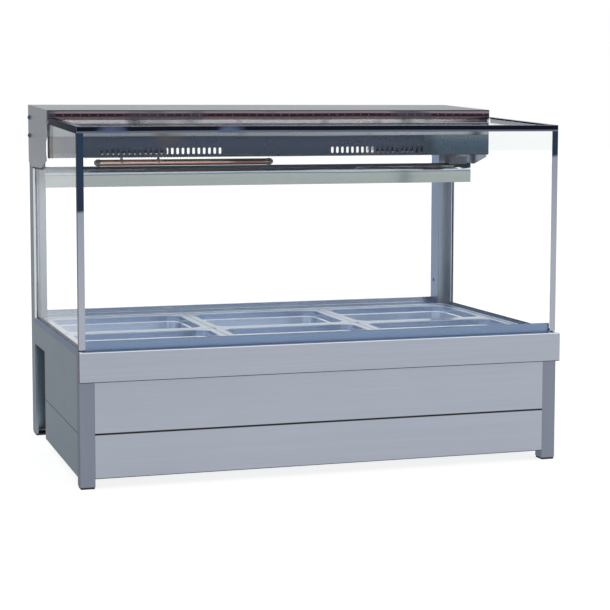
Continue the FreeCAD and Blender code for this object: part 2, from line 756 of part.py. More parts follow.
def top_trims_side():
    """Polished angles along the side edges of the glass top."""
    trims = []
    front = "trim_front + trim_face"
    for _, sign in SIDES:
        body = doc.addObject("PartDesign::Body", "TopTrim")
        prism(body, "x", [
            (front, glass_top_at(front, "trim_face")),
            ("notch_y", glass_top_at("notch_y", "trim_face")),
            ("notch_y", glass_top_at("notch_y", "-trim_wall")),
            (front, glass_top_at(front, "-trim_wall"))], *sided(sign, "glass_outer", "trim_outer"))
        prism(body, "x", [
            (front, glass_top_at(front)), ("notch_y", glass_top_at("notch_y")),
            ("notch_y", glass_top_at("notch_y", "-trim_wall")),
            (front, glass_top_at(front, "-trim_wall"))],
            *sided(sign, "trim_outer - trim_face", "trim_outer"))
        trims.append(body)
    group(trims, "top_trims_side")


def rear_trims():
    """Channels that hold the rear edges of the side glasses against the posts."""
    trims = []
    for _, sign in SIDES:
        body = doc.addObject("PartDesign::Body", "RearTrim")
        a, b = sided(sign, "glass_outer - glass - trim_wall", "trim_outer")
        c, d = sided(sign, "glass_outer - glass", "glass_outer")
        inner = "post_front - leg_wall"
        prism(body, "z", [
            (a, "post_front - rear_trim_depth"), (c, "post_front - rear_trim_depth"), (c, inner),
            (d, inner), (d, "post_front - rear_trim_depth"), (b, "post_front - rear_trim_depth"),
            (b, "post_front"), (a, "post_front")], "deck_height", "notch_low")
        trims.append(body)
    group(trims, "rear_trims")


# ---- canopy ----------------------------------------------------------------------------------------

def canopy_cover():
    """The folded roof: an apron at the back, a top that falls to the front, a face and a lip."""
    body = new_body("canopy_cover")
    thick = "canopy_sheet"
    prism(body, "x", [
        ("back", "height - canopy_apron"), ("back", "height"),
        ("canopy_front", "canopy_front_top"), ("canopy_front", "canopy_front_low"),
        ("canopy_front + canopy_lip", "canopy_front_low"),
        ("canopy_front + canopy_lip", f"canopy_front_low + {thick}"),
        (f"canopy_front + {thick}", f"canopy_front_low + {thick}"),
        (f"canopy_front + {thick}", f"canopy_front_top - {thick}"),
        (f"back - {thick}", f"height - {thick}"), (f"back - {thick}", "height - canopy_apron")],
        "-(side)", "side")
    for _, sign in SIDES:
        x0, x1 = sided(sign, "leg_inner", "side")
        cut_prism(body, "z", box_corners(x0, x1, f"back - {thick}", "back"),
                  "height - canopy_apron", "height - 2 * canopy_sheet")


NUT_HEIGHTS = ("height - nut_top", "height - nut_top - nut_spacing")


def canopy_end(side, sign):
    """An end plate of the canopy, scalloped under its front corner and chamfered at its foot."""
    body = new_body(f"canopy_end_{side}")
    x0, x1 = sided(sign, "side", "side + canopy_sheet")
    scallop = "end_scallop"
    prism(body, "x", [
        ("back", "end_bottom + end_chamfer / 2"), ("back", "height"),
        ("end_front", "height - canopy_slope * (canopy_depth - end_setback)"),
        ("end_front", "lamp_top"),
        (f"end_front + {scallop}", "lamp_top - lamp_face / 4"),
        (f"end_front + {scallop}", "lamp_bottom + lamp_face / 4"),
        (f"end_front + {scallop} / 2", "end_chamfer_top"),
        ("end_front + end_chamfer_length", "end_bottom"),
        ("back - leg_size * 1.5", "end_bottom")], x0, x1)
    cut_holes(body, "x", [("back - nut_rear", z) for z in NUT_HEIGHTS], "stud_radius", x0, x1)


def canopy_nuts():
    """Dome nuts that fasten the end plates to the posts."""
    nuts = []
    for _, sign in SIDES:
        for z in NUT_HEIGHTS:
            face = "side + canopy_sheet"
            dome = ball(f"{sign} * ({face})", "back - nut_rear", z, "nut_radius")
            x0, x1 = sided(sign, f"{face} - 2 * nut_radius", face)
            trim = block(x0, x1, "back - nut_rear - 2 * nut_radius",
                         "back - nut_rear + 2 * nut_radius", f"{z} - 2 * nut_radius",
                         f"{z} + 2 * nut_radius")
            stud_start = sided(sign, "side", face)[0]
            stud = rod("x", stud_start, "back - nut_rear", z, "stud_radius - fit_gap / 3",
                       "canopy_sheet")
            nuts.append(fuse([cut(dome, trim), stud]))
    group(nuts, "canopy_nuts")


# ---- lamps -----------------------------------------------------------------------------------------

def cut_slots(body, first, way):
    """A row of upright vent slots, spread by a pattern from its first one."""
    sketch = new_sketch(body, "y", "lamp_y")
    draw_rounded(sketch, "(slot_width / 2)", "(slot_height / 2)", "(slot_width / 2 - 0.05)", first,
                 "(slot_low + slot_height / 2)")
    pocket = extrude(body, sketch, "Pocket", "sheet")
    before = body.Shape.Volume
    pattern = body.newObject("PartDesign::LinearPattern", "LinearPattern")
    pattern.Originals = [pocket]
    axis = next(f for f in body.Origin.OriginFeatures if f.Role == "X_Axis")
    pattern.Direction = (axis, [""])
    pattern.Reversed = way < 0
    bind(pattern, "Length", f"slot_pitch * {SLOTS - 1}")
    pattern.Occurrences = SLOTS
    body.Tip = pattern
    doc.recompute()
    if body.Shape.Volume > before - 1:
        raise RuntimeError("the slot pattern cut nothing")


def lamp_panel():
    """The long front of the lamp housing: a sloping brow and a slotted face below it."""
    body = new_body("lamp_panel")
    brow_y = "lamp_y + lamp_brow_slope"
    prism(body, "x", [
        ("lamp_y", "lamp_bottom"), ("lamp_y + sheet", "lamp_bottom"), ("lamp_y + sheet", "lamp_top"),
        (f"{brow_y} + sheet", "canopy_front_low"), (brow_y, "canopy_front_low"),
        ("lamp_y", "lamp_top")], "-(side)", "side")
    cut_slots(body, "(-slot_inner)", -1)
    cut_slots(body, "slot_inner", 1)


def lamp_end_cover():
    """A plain cover over the right end of the slotted face, where the wiring comes in."""
    group([block("side - end_cover_length", "side", "lamp_y - sheet", "lamp_y", "lamp_bottom",
                 "lamp_top")], "lamp_end_cover")


CROSSBARS = ("reflector_inner + 60", "reflector_outer - 60")


def lamp_crossbars():
    """Flat bars from the front of the lamp housing to the rear apron, which carry the reflectors."""
    bars = []
    for _, sign in SIDES:
        for x in CROSSBARS:
            centre = f"{sign} * ({x})"
            body = doc.addObject("PartDesign::Body", "Crossbar")
            top = "reflector_top + crossbar_sheet"
            rear = "back - canopy_sheet"
            apron = "height - canopy_apron"
            prism(body, "x", [
                ("lamp_y + sheet", "reflector_top"), (rear, "reflector_top"),
                (rear, f"{apron} + 20"), (f"{rear} - crossbar_sheet", f"{apron} + 20"),
                (f"{rear} - crossbar_sheet", top), ("lamp_y + sheet", top)],
                f"{centre} - crossbar_width / 2", f"{centre} + crossbar_width / 2")
            bars.append(body)
    group(bars, "lamp_crossbars")


def half_trough(x0, x1, radius):
    """Half a round bar, flat side down."""
    item = rod("x", x0, "lamp_centre", "lamp_bottom", radius, f"({x1}) - ({x0})")
    item.Angle = 180
    item.Placement = FreeCAD.Placement(
        Vector(), FreeCAD.Rotation(Vector(1, 0, 0), 90) * FreeCAD.Rotation(Vector(0, 1, 0), 90))
    return place(item, x0, "lamp_centre", "lamp_bottom")


def lamp_reflectors():
    troughs = []
    for _, sign in SIDES:
        x0, x1 = sided(sign, "reflector_inner", "reflector_outer")
        shell = cut(half_trough(x0, x1, "reflector_radius"),
                    half_trough(f"{x0} - 1", f"{x1} + 1", "reflector_radius - reflector_sheet"))
        troughs.append(shell)
    group(troughs, "lamp_reflectors")


def tube_lamp(label, start, length, z):
    """A tubular infra-red lamp with round ends."""
    radius = "lamp_radius"
    body = rod("x", f"{start} + {radius}", "lamp_centre", z, radius, f"{length} - 2 * {radius}")
    ends = [ball(f"{start} + {radius}", "lamp_centre", z, radius),
            ball(f"{start} + {length} - {radius}", "lamp_centre", z, radius)]
    keep(fuse([body] + ends), label)


LONG_START = "-lamp_length + lamp_radius"
LOW_LAMP_Z = "lamp_bottom - lamp_low"
SHORT_START = "reflector_inner + 12"
HIGH_LAMP_Z = "lamp_bottom + lamp_radius + 4"


def lamps():
    tube_lamp("heat_lamp_left", LONG_START, "lamp_length", LOW_LAMP_Z)
    tube_lamp("heat_lamp_right", SHORT_START, "short_lamp", HIGH_LAMP_Z)


def lamp_clip(x, z):
    """A thin plate that hangs from the crown of the trough and rings the lamp."""
    plate = block(x, f"{x} + lamp_clip", "lamp_centre - lamp_radius - 3",
                  "lamp_centre + lamp_radius + 3", f"{z} - 1",
                  "reflector_top - reflector_sheet - 1.7")
    hole = rod("x", f"{x} - 1", "lamp_centre", z, "lamp_radius + fit_gap", "lamp_clip + 2")
    return cut(plate, hole)


def lamp_holders():
    """Clips for both lamps, and the ceramic connector block at the right-hand end."""
    clips = [lamp_clip(f"{LONG_START} + 60", LOW_LAMP_Z),
             lamp_clip("-(reflector_inner) - 14", LOW_LAMP_Z),
             lamp_clip(f"{SHORT_START} + 30", HIGH_LAMP_Z),
             lamp_clip(f"{SHORT_START} + short_lamp - 30", HIGH_LAMP_Z)]
    bar = "reflector_outer - 60"
    stem = block(f"{bar} - 4", f"{bar} + 4", "lamp_y + sheet", "lamp_y + sheet + 12",
                 "lamp_bottom - 4", "reflector_top")
    ceramic = block(f"{bar} - 14", f"{bar} + 30", "lamp_y + sheet", "lamp_y + 28",
                    "lamp_bottom - 22", "lamp_bottom - 4")
    group(clips + [fuse([stem, ceramic])], "lamp_holders")


# ---- lower rail ------------------------------------------------------------------------------------

def lower_rail():
    """The rail under the lamps: a flat face whose top edge rolls back."""
    body = new_body("lower_rail")
    sketch = new_sketch(body, "x", "-(rail_half)")
    face, shoulder = value("rail_y"), value("rail_bottom + rail_face")
    bend, thick = value("rail_round"), value("sheet")
    rear, low = value("rail_y + rail_depth"), value("rail_bottom")
    centre = Vector(face + bend, shoulder, 0)
    arcs = [Part.ArcOfCircle(Part.Circle(centre, Vector(0, 0, 1), r), math.pi / 2, math.pi)
            for r in (bend, bend - thick)]
    top = shoulder + bend
    spots = [Vector(face, shoulder, 0), Vector(face, low, 0), Vector(rear, low, 0),
             Vector(rear, low + thick, 0), Vector(face + thick, low + thick, 0),
             Vector(face + thick, shoulder, 0)]
    for arc in arcs:
        sketch.addGeometry(arc, False)
    for start, end in zip(spots, spots[1:]):
        sketch.addGeometry(Part.LineSegment(start, end), False)
    ends = [Vector(face + bend, top, 0), Vector(rear, top, 0), Vector(rear, top - thick, 0),
            Vector(face + bend, top - thick, 0)]
    for start, end in zip(ends, ends[1:]):
        sketch.addGeometry(Part.LineSegment(start, end), False)
    link = [(0, 2, 2, 1), (2, 2, 3, 1), (3, 2, 4, 1), (4, 2, 5, 1), (5, 2, 6, 1), (6, 2, 1, 2),
            (0, 1, 7, 1), (7, 2, 8, 1), (8, 2, 9, 1), (9, 2, 1, 1)]
    for first, end, second, start in link:
        sketch.addConstraint(Sketcher.Constraint("Coincident", first, end, second, start))
    shoulder_z = "rail_bottom + rail_face"
    fix_point(sketch, 0, 3, "rail_y + rail_round", shoulder_z)
    fix_point(sketch, 0, 2, "rail_y", shoulder_z)
    fix_point(sketch, 1, 2, "rail_y + sheet", shoulder_z)
    sketch.addConstraint(Sketcher.Constraint("Coincident", 0, 3, 1, 3))
    fix_point(sketch, 3, 1, "rail_y", "rail_bottom")
    fix_point(sketch, 4, 1, "rail_y + rail_depth", "rail_bottom")
    fix_point(sketch, 5, 1, "rail_y + rail_depth", "rail_bottom + sheet")
    fix_point(sketch, 6, 1, "rail_y + sheet", "rail_bottom + sheet")
    fix_point(sketch, 8, 1, "rail_y + rail_depth", "rail_top")
    fix_point(sketch, 9, 1, "rail_y + rail_depth", "rail_top - sheet")
    extrude(body, sketch, "Pad", "2 * (rail_half)")


def rail_hangers():
    """Cranked hangers from the canopy's ends down to the ends of the lower rail."""
    hangers = []
    for _, sign in SIDES:
        body = doc.addObject("PartDesign::Body", "Hanger")
        inner, outer = "rail_half", "side"
        skin = "glass_outer - glass - fit_gap"
        prism(body, "y", [
            (f"{sign} * ({inner})", "rail_bottom + 12"), (f"{sign} * ({skin})", "rail_bottom + 12"),
            (f"{sign} * ({skin})", "end_bottom + 2"), (f"{sign} * ({outer})", "end_bottom + 2"),
            (f"{sign} * ({outer})", "end_bottom + hanger_rise"),
            (f"{sign} * ({inner})", "end_bottom + hanger_rise")],
            "rail_y + 4", "rail_y + 4 + hanger_width")
        hangers.append(body)
    group(hangers, "rail_hangers")


# ---- controls --------------------------------------------------------------------------------------

SWITCH_SPOTS = ("control_right - switch_pitch", "control_right - 1.75 * switch_pitch")
PILOT_X = "control_right - 2.5 * switch_pitch"


def thermostat():
    """The thermostat behind the panel, with its threaded bush through it."""
    size = "thermostat_size / 2"
    case = block(f"control_right - {size}", f"control_right + {size}",
                 "cabinet_back - sheet - thermostat_depth", "cabinet_back - sheet",
                 f"knob_z - {size}", f"knob_z + {size}")
    bush = rod("y", "control_right", "cabinet_back - sheet - 1", "knob_z",
               "bush_radius - fit_gap / 3", "sheet + 4")
    bore = rod("y", "control_right", "cabinet_back - sheet - thermostat_depth / 2", "knob_z",
               "stem_radius + stem_gap", "thermostat_depth")
    keep(cut(fuse([case, bush]), bore), "thermostat")


def thermostat_knob():
    """The dial: a skirt, a ridged grip, a pointer rib and the stem that turns in the bush."""
    base = "cabinet_back + 4"
    skirt = rod("y", "control_right", base, "knob_z", "knob_skirt", "knob_flange")
    grip = rod("y", "control_right", f"{base} + knob_flange", "knob_z", "knob_grip", "knob_height")
    rib = block("control_right - 2", "control_right + 2", f"{base} + knob_flange",
                f"{base} + knob_flange + knob_height + 1.5", "knob_z", "knob_z + knob_grip + 2")
    stem = rod("y", "control_right", "cabinet_back - sheet - thermostat_depth / 2 + 1", "knob_z",
               "stem_radius", "thermostat_depth / 2 + sheet + 4")
    keep(fuse([skirt, grip, rib, stem]), "thermostat_knob")


def switch_housings():
    """Bezel and well of each rocker switch, with the pivot holes through its cheeks."""
    housings = []
    for centre in SWITCH_SPOTS:
        half_x, half_z = "switch_width / 2", "switch_height / 2"
        bezel = block(f"{centre} - {half_x} - switch_border", f"{centre} + {half_x} + switch_border",
                      "cabinet_back", "cabinet_back + 2", f"knob_z - {half_z} - switch_border",
                      f"knob_z + {half_z} + switch_border")
        shell = block(f"{centre} - {half_x} - 1.5", f"{centre} + {half_x} + 1.5",
                      "cabinet_back - switch_depth", "cabinet_back",
                      f"knob_z - {half_z} - 1.5", f"knob_z + {half_z} + 1.5")
        hollow = block(f"{centre} - {half_x}", f"{centre} + {half_x}",
                       "cabinet_back - switch_depth + 2", "cabinet_back + 3",
                       f"knob_z - {half_z}", f"knob_z + {half_z}")
        pivot = rod("x", f"{centre} - {half_x} - 1.2", "cabinet_back - 2", "knob_z", "1.5 + stem_gap",
                    "switch_width + 2.4")
        housings.append(cut(fuse([bezel, shell]), fuse([hollow, pivot])))
    group(housings, "switch_housings")


def rocker(label, centre):
    """A rocker on its pivot, lying in the off position."""
    body = new_body(label)
    reach = "switch_height / 2 - 1"
    half = "switch_width / 2 - fit_gap"
    prism(body, "x", [
        ("6", f"-({reach} - 2)"), ("4", "0"), ("6", f"{reach} - 2"), ("-4", f"{reach} - 2"),
        ("-7", "3"), ("-7", "-3"), ("-4", f"-({reach} - 2)")], f"-({half})", half)
    sketch = new_sketch(body, "x", f"-({half} + 1.2)")
    draw_circle(sketch, "0", "0", "1.5")
    extrude(body, sketch, "Pad", f"2 * ({half} + 1.2)")
    body.Placement = FreeCAD.Placement(Vector(), FreeCAD.Rotation(Vector(1, 0, 0), 1))
    bind(body, ".Placement.Rotation.Angle", "-rocker_tilt")
    place(body, centre, "cabinet_back - 2", "knob_z")


def pilot_lamp():
    """The round indicator beside the switches."""
    barrel = rod("y", PILOT_X, "cabinet_back - 18", "knob_z", "bush_radius - fit_gap / 3", "18")
    lens = rod("y", PILOT_X, "cabinet_back", "knob_z", "bush_radius + 2", "4")
    keep(fuse([barrel, lens]), "pilot_lamp")


def cable_gland():
    """The inlet for the supply lead: a hollow gland through the panel with a nut on each side."""
    out = rod("y", "-control_right", "cabinet_back", "knob_z", "gland_radius + 4", "9")
    neck = rod("y", "-control_right", "cabinet_back - 14", "knob_z", "gland_radius - fit_gap / 3",
               "34")
    inner = rod("y", "-control_right", "cabinet_back - sheet - 6", "knob_z", "gland_radius + 4", "6")
    bore = rod("y", "-control_right", "cabinet_back - 15", "knob_z", "gland_radius / 2", "40")
    keep(cut(fuse([out, neck, inner]), bore), "cable_gland")


def terminal_block():
    """The supply terminals on the floor of the cabinet."""
    centre = "-control_right + 70"
    base = block(f"{centre} - terminal_length / 2", f"{centre} + terminal_length / 2",
                 "cabinet_back - 80", "cabinet_back - 80 + terminal_depth", "panel_bottom + sheet",
                 "panel_bottom + sheet + terminal_height")
    wells = [rod("z", f"{centre} + {step} * terminal_length / 4",
                 "cabinet_back - 80 + terminal_depth / 2",
                 "panel_bottom + sheet + terminal_height / 2", "3", "terminal_height")
             for step in (-1, 0, 1)]
    keep(cut(base, fuse(wells)), "terminal_block")


# ---- the whole case --------------------------------------------------------------------------------

def build():
    for side, sign in SIDES:
        front_leg(side, sign)
        rear_post(side, sign)
        upper_end_panel(side, sign)
    group([post_cover(sign) for _, sign in SIDES], "post_covers")
    foot_pads()
    fascia_front()
    front_panel("panel_front_upper", "upper_panel_bottom", "deck_under")
    front_panel("panel_front_lower", "panel_bottom", "lower_panel_top")
    lower_end_panels()
    rear_apron()
    control_panel()
    panel_screws()
    base_plate()
    deck_surround()
    well_tank()
    insulation()
    heating_element()
    pan_bars()
    for row, row_name in enumerate(("front", "rear")):
        for column, column_name in enumerate(("left", "middle", "right")):
            pan(f"pan_{row_name}_{column_name}", column, row)
    glass_channels()
    glazing_strips()
    front_upstand()
    front_glass()
    top_glass()
    corner_trims()
    top_trim_front()
    top_trims_side()
    rear_trims()
    canopy_cover()
    for side, sign in SIDES:
        side_glass(side, sign)
        canopy_end(side, sign)
    canopy_nuts()
    lamp_panel()
    lamp_end_cover()
    lamp_crossbars()
    lamp_reflectors()
    lamps()
    lamp_holders()
    lower_rail()
    rail_hangers()
    thermostat()
    thermostat_knob()
    switch_housings()
    rocker("rocker_base_heat", SWITCH_SPOTS[0])
    rocker("rocker_lamps", SWITCH_SPOTS[1])
    pilot_lamp()
    cable_gland()
    terminal_block()


def check_and_export():
    """Stops on any failed object or shape, then writes one STEP file for each sub-part."""
    doc.recompute()
    for item in doc.Objects:
        if {"Invalid", "Error"} & set(item.State):
            raise RuntimeError(f"{item.Label} failed: {item.State}")
    for item in sub_parts:
        if item.Shape.isNull() or not item.Shape.isValid():
            raise RuntimeError(f"{item.Label} has no valid shape")
    os.makedirs("parts", exist_ok=True)
    for item in sub_parts:
        item.Shape.exportStep(f"parts/{item.Label}.step")
    print(len(sub_parts), "sub-parts written")


build()
check_and_export()
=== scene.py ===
import json
import math

import bmesh
import bpy
from bpy.props import FloatProperty, FloatVectorProperty, IntProperty, PointerProperty
from bpy.types import Operator, Panel, PropertyGroup
from mathutils import Matrix, Vector

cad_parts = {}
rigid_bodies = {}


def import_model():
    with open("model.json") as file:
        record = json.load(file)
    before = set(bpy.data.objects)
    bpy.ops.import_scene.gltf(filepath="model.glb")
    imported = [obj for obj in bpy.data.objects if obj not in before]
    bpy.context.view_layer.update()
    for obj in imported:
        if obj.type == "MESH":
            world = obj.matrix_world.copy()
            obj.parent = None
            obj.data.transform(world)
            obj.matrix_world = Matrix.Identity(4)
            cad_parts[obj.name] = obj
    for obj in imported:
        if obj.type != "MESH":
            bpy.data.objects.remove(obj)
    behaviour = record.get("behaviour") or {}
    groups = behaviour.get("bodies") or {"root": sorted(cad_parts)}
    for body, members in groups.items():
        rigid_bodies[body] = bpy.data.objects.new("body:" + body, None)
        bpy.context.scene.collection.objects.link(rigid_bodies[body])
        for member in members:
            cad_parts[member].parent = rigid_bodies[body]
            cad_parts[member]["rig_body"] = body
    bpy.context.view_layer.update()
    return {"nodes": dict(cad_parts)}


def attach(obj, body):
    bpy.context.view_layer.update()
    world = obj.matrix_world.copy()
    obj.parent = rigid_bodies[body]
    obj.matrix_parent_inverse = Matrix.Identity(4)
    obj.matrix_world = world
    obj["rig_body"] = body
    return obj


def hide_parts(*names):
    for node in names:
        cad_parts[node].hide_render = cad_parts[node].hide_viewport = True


bl_info = {
    "name": "Hot food display case",
    "version": (1, 0, 0),
    "blender": (4, 5, 0),
    "location": "3D View > Sidebar > Display Case",
    "description": "Gives the parts of a heated food display case their surfaces and small details",
    "category": "Object",
}

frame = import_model()
ROW_SEED = 7
RING_SEED = 11


# ---- sizes and colours -----------------------------------------------------------------------------

# Rounding of edges that don't follow the fold radius, in metres.
EDGE_SEAL = 0.0001
EDGE_FINE = 0.0002
EDGE_SMALL = 0.0003
EDGE_TRIM = 0.0004
EDGE_SOFT = 0.0005
EDGE_RUBBER = 0.0008
EDGE_WOOL = 0.003

# A pane's share of mirroring head on, and the power by which it grows at a slant.
HEAD_ON = 0.035
SLANT_POWER = 5.0

# How strongly a metal's reflection at a slant is held back.
SLANT_HOLD = 0.47

# Depths and normals by which faces are picked for a second material: painted highlights, painted
# shade, painted reflections and the pans' flat flanges.
PAN_SHOULDER = 0.015
FLANGE_DEPTH = 0.0015
FACE_DEPTH = 0.002
SIDEWAYS = 0.3
FACING_UP = 0.95

# Small fittings, in metres.
SCREW_RADIUS = 0.0044
SCREW_DOME = 0.0014
SCREW_INSET = 0.018
SCREW_RISE = 0.325
SCREW_PITCH = 0.26
RIVET_INSET = 0.015
RIVET_RISE = 0.0355
TOOTH_DROP = 0.0013
TOOTH_DEPTH = 0.0012
GRIP_RADIUS = 0.014
GRIP_LENGTH = 0.015
GRIP_END = 0.003
RIBS_LEFT_OUT = 3
DIAL_MARKS = 10

# The studio floor: its paint, its own light and half its width in metres.
FLOOR_GREY = 0.30
FLOOR_GLOW = 0.80
FLOOR_REACH = 30.0

def tone(red, green, blue):
    """Display values from 0 to 255 as the linear colour that a shader takes."""
    def linear(part):
        part /= 255
        return part / 12.92 if part <= 0.04045 else ((part + 0.055) / 1.055) ** 2.4
    return tuple(linear(part) for part in (red, green, blue))


def colour_property(name, description, display):
    return FloatVectorProperty(name=name, description=description, subtype="COLOR", size=3,
                               min=0.0, max=1.0, default=tone(*display))


class CaseFinishes(PropertyGroup):
    """Colours of the case's materials."""
    panel: colour_property("Panel steel", "Brushed steel of the front skins", (164, 170, 182))
    # painted shade: the end skins' steel is darker than the front skins' steel, standing in for the
    # shade on the ends
    side: colour_property("Side steel", "Brushed steel of the end skins", (133, 147, 157))
    leg: colour_property("Leg steel", "Brushed steel of the legs", (127, 132, 147))
    post: colour_property("Post steel", "Brushed steel of the right post", (134, 149, 175))
    deck: colour_property("Deck steel", "Steel of the deck and its fittings", (174, 187, 207))
    # painted reflection: darker and bluer than the deck steel, for the dark that the upright faces
    # mirror
    upstand: colour_property("Upstand steel", "Steel of the upstand behind the front glass",
                             (114, 134, 164))
    pan: colour_property("Pan steel", "Pressed steel of the lift-out pans", (202, 213, 230))
    canopy: colour_property("Canopy steel", "Steel of the canopy's roof and ends",
                            (152, 160, 172))
    glass: colour_property("Glass", "Tint of the panes", (254, 255, 255))


class CaseDetails(PropertyGroup):
    """Sizes of the case's small details."""
    fold: FloatProperty(name="Fold radius", description="Rounding of folded sheet edges",
                        default=0.0006, min=0.0001, max=0.003, unit="LENGTH")
    # painted shade and painted highlight: hem is the height of the dark and pale bands painted along
    # the front skins
    hem: FloatProperty(name="Hem", description="Height of the front skins' hems",
                       default=0.0014, min=0.0002, max=0.004, unit="LENGTH")
    # painted highlight: rim is the height of the pale bands painted on the pans
    rim: FloatProperty(name="Pan rim", description="Height of the polished bands on the pans",
                       default=0.0026, min=0.0005, max=0.006, unit="LENGTH")
    glass_edge: FloatProperty(name="Glass edge", description="Polished bevel on the panes",
                              default=0.0004, min=0.0001, max=0.002, unit="LENGTH")
    glass_play: FloatProperty(name="Glass play", description="Gap round each pane",
                              default=0.0003, min=0.0, max=0.001, unit="LENGTH")
    teeth: IntProperty(name="Teeth", description="Teeth along the foot of the lamp housing",
                       default=142, min=10, max=400)
    rivets: IntProperty(name="Rivets", description="Rivets along the canopy's front",
                        default=54, min=3, max=200)
    windings: IntProperty(name="Windings", description="Turns of wire on each lamp",
                          default=60, min=4, max=300)
    ribs: IntProperty(name="Knob ribs", description="Grip ribs round the knob", default=28,
                      min=6, max=90)


class StudioSettings(PropertyGroup):
    """The camera's lens, turn, place and shift."""
    lens: FloatProperty(name="Lens", description="Focal length of the camera", default=94.5,
                        min=20, max=300, unit="CAMERA")
    heading: FloatProperty(name="Heading", description="Turn of the camera from straight ahead",
                           default=0.2815, subtype="ANGLE")
    dip: FloatProperty(name="Dip", description="Angle of the camera below the level",
                       default=0.0911, subtype="ANGLE")
    roll: FloatProperty(name="Roll", description="Turn of the camera about its view",
                        default=-0.0018, subtype="ANGLE")
    place: FloatVectorProperty(name="Place", description="Where the camera stands", size=3,
                               default=(-1.0615, -3.3639, 0.7270), subtype="TRANSLATION",
                               unit="LENGTH")
    shift: FloatVectorProperty(name="Shift", description="Lens shift across and up", size=2,
                               default=(0.0984, -0.0656))


# ---- materials -------------------------------------------------------------------------------------

class Finish:
    """A material under construction."""

    def __init__(self, name):
        self.material = bpy.data.materials.new(name)
        self.material.use_nodes = True
        self.tree = self.material.node_tree
        self.tree.nodes.clear()
        self.output = self.node("ShaderNodeOutputMaterial")
        self.place = self.node("ShaderNodeTexCoord").outputs["Object"]

    def node(self, kind, **settings):
        made = self.tree.nodes.new(kind)
        for name, value in settings.items():
            setattr(made, name, value)
        return made

    def feed(self, socket, value):
        """Links an output to a socket, or sets the socket's own value."""
        if isinstance(value, bpy.types.NodeSocket):
            self.tree.links.new(value, socket)
        else:
            socket.default_value = value

    def noise(self, stretch, scale=1.0, detail=3.0, roughness=0.5):
        """Noise in the object's own space, stretched along its axes."""
        mapping = self.node("ShaderNodeMapping")
        self.feed(mapping.inputs["Vector"], self.place)
        self.feed(mapping.inputs["Scale"], stretch)
        noise = self.node("ShaderNodeTexNoise")
        self.feed(noise.inputs["Vector"], mapping.outputs["Vector"])
        self.feed(noise.inputs["Scale"], scale)
        self.feed(noise.inputs["Detail"], detail)
        self.feed(noise.inputs["Roughness"], roughness)
        return noise.outputs["Fac"]

    def spread(self, value, low, high, start=0.3, end=0.7):
        """Maps a value between start and end onto low to high."""
        spread = self.node("ShaderNodeMapRange")
        self.feed(spread.inputs["Value"], value)
        for name, number in (("From Min", start), ("From Max", end), ("To Min", low),
                             ("To Max", high)):
            self.feed(spread.inputs[name], number)
        return spread.outputs["Result"]

    def blend(self, factor, first, second, mode="MIX"):
        mix = self.node("ShaderNodeMix", data_type="RGBA", blend_type=mode)
        self.feed(mix.inputs["Factor"], factor)
        self.feed(mix.inputs["A"], first)
        self.feed(mix.inputs["B"], second)
        return mix.outputs["Result"]

    def math(self, operation, first, second):
        made = self.node("ShaderNodeMath", operation=operation)
        self.feed(made.inputs[0], first)
        self.feed(made.inputs[1], second)
        return made.outputs["Value"]

    def bump(self, height, strength, distance):
        bump = self.node("ShaderNodeBump")
        self.feed(bump.inputs["Height"], height)
        self.feed(bump.inputs["Strength"], strength)
        self.feed(bump.inputs["Distance"], distance)
        return bump.outputs["Normal"]

    def shader(self, **inputs):
        """A Principled shader; input names use underscores for spaces."""
        made = self.node("ShaderNodeBsdfPrincipled")
        for name, value in inputs.items():
            self.feed(made.inputs[name.replace("_", " ")], value)
        return made.outputs["BSDF"]

    def finish(self, shader):
        self.feed(self.output.inputs["Surface"], shader)
        return self.material


def rgba(colour, level=1.0):
    return (*(min(part * level, 1.0) for part in colour), 1.0)


def slant_tint(colour):
    """Keeps a metal near its own colour at a slant, where it would otherwise turn white."""
    middle = sum(colour) / 3
    level = middle / (middle + SLANT_HOLD * (1 - middle))
    return (level, level, level, 1.0)


GRAIN = {"X": (4.0, 900.0, 900.0), "Y": (900.0, 4.0, 900.0), "Z": (900.0, 900.0, 4.0)}
STREAK = {"X": (0.8, 60.0, 60.0), "Y": (60.0, 0.8, 60.0), "Z": (60.0, 60.0, 0.8)}


def brushed_metal(name, colour, along, rough=0.32, contrast=0.05, smudge=0.06):
    """Sheet steel: fine grain along one axis, broader streaks and faint handling marks."""
    finish = Finish(name)
    grain = finish.noise(GRAIN[along], detail=2.0)
    streak = finish.noise(STREAK[along], detail=3.0)
    marks = finish.noise((1.0, 1.0, 1.0), scale=7.0, detail=5.0, roughness=0.6)
    shade = finish.blend(finish.spread(grain, 0.0, 1.0), rgba(colour, 1 - contrast),
                         rgba(colour, 1 + contrast))
    shade = finish.blend(finish.spread(streak, 0.0, 0.35), shade, rgba(colour, 1 - 2 * contrast))
    gloss = finish.math("ADD", finish.spread(grain, rough - 0.03, rough + 0.03),
                        finish.spread(marks, -smudge / 2, smudge / 2))
    return finish.finish(finish.shader(
        Base_Color=shade, Metallic=1.0, Specular_Tint=slant_tint(colour), Roughness=gloss,
        Normal=finish.bump(grain, 0.10, 0.0002)))


def polished_metal(name, colour, rough=0.08, smudge=0.06):
    """Polished steel with fine wipe marks and cloudy fingerprints."""
    finish = Finish(name)
    marks = finish.noise((1.0, 1.0, 1.0), scale=11.0, detail=6.0, roughness=0.65)
    wipes = finish.noise((9.0, 240.0, 240.0), detail=2.0)
    shade = finish.blend(finish.spread(marks, 0.0, 1.0), rgba(colour, 0.94), rgba(colour, 1.05))
    gloss = finish.math("ADD", finish.spread(marks, rough, rough + smudge),
                        finish.spread(wipes, 0.0, 0.02))
    return finish.finish(finish.shader(
        Base_Color=shade, Metallic=1.0, Specular_Tint=slant_tint(colour), Roughness=gloss))


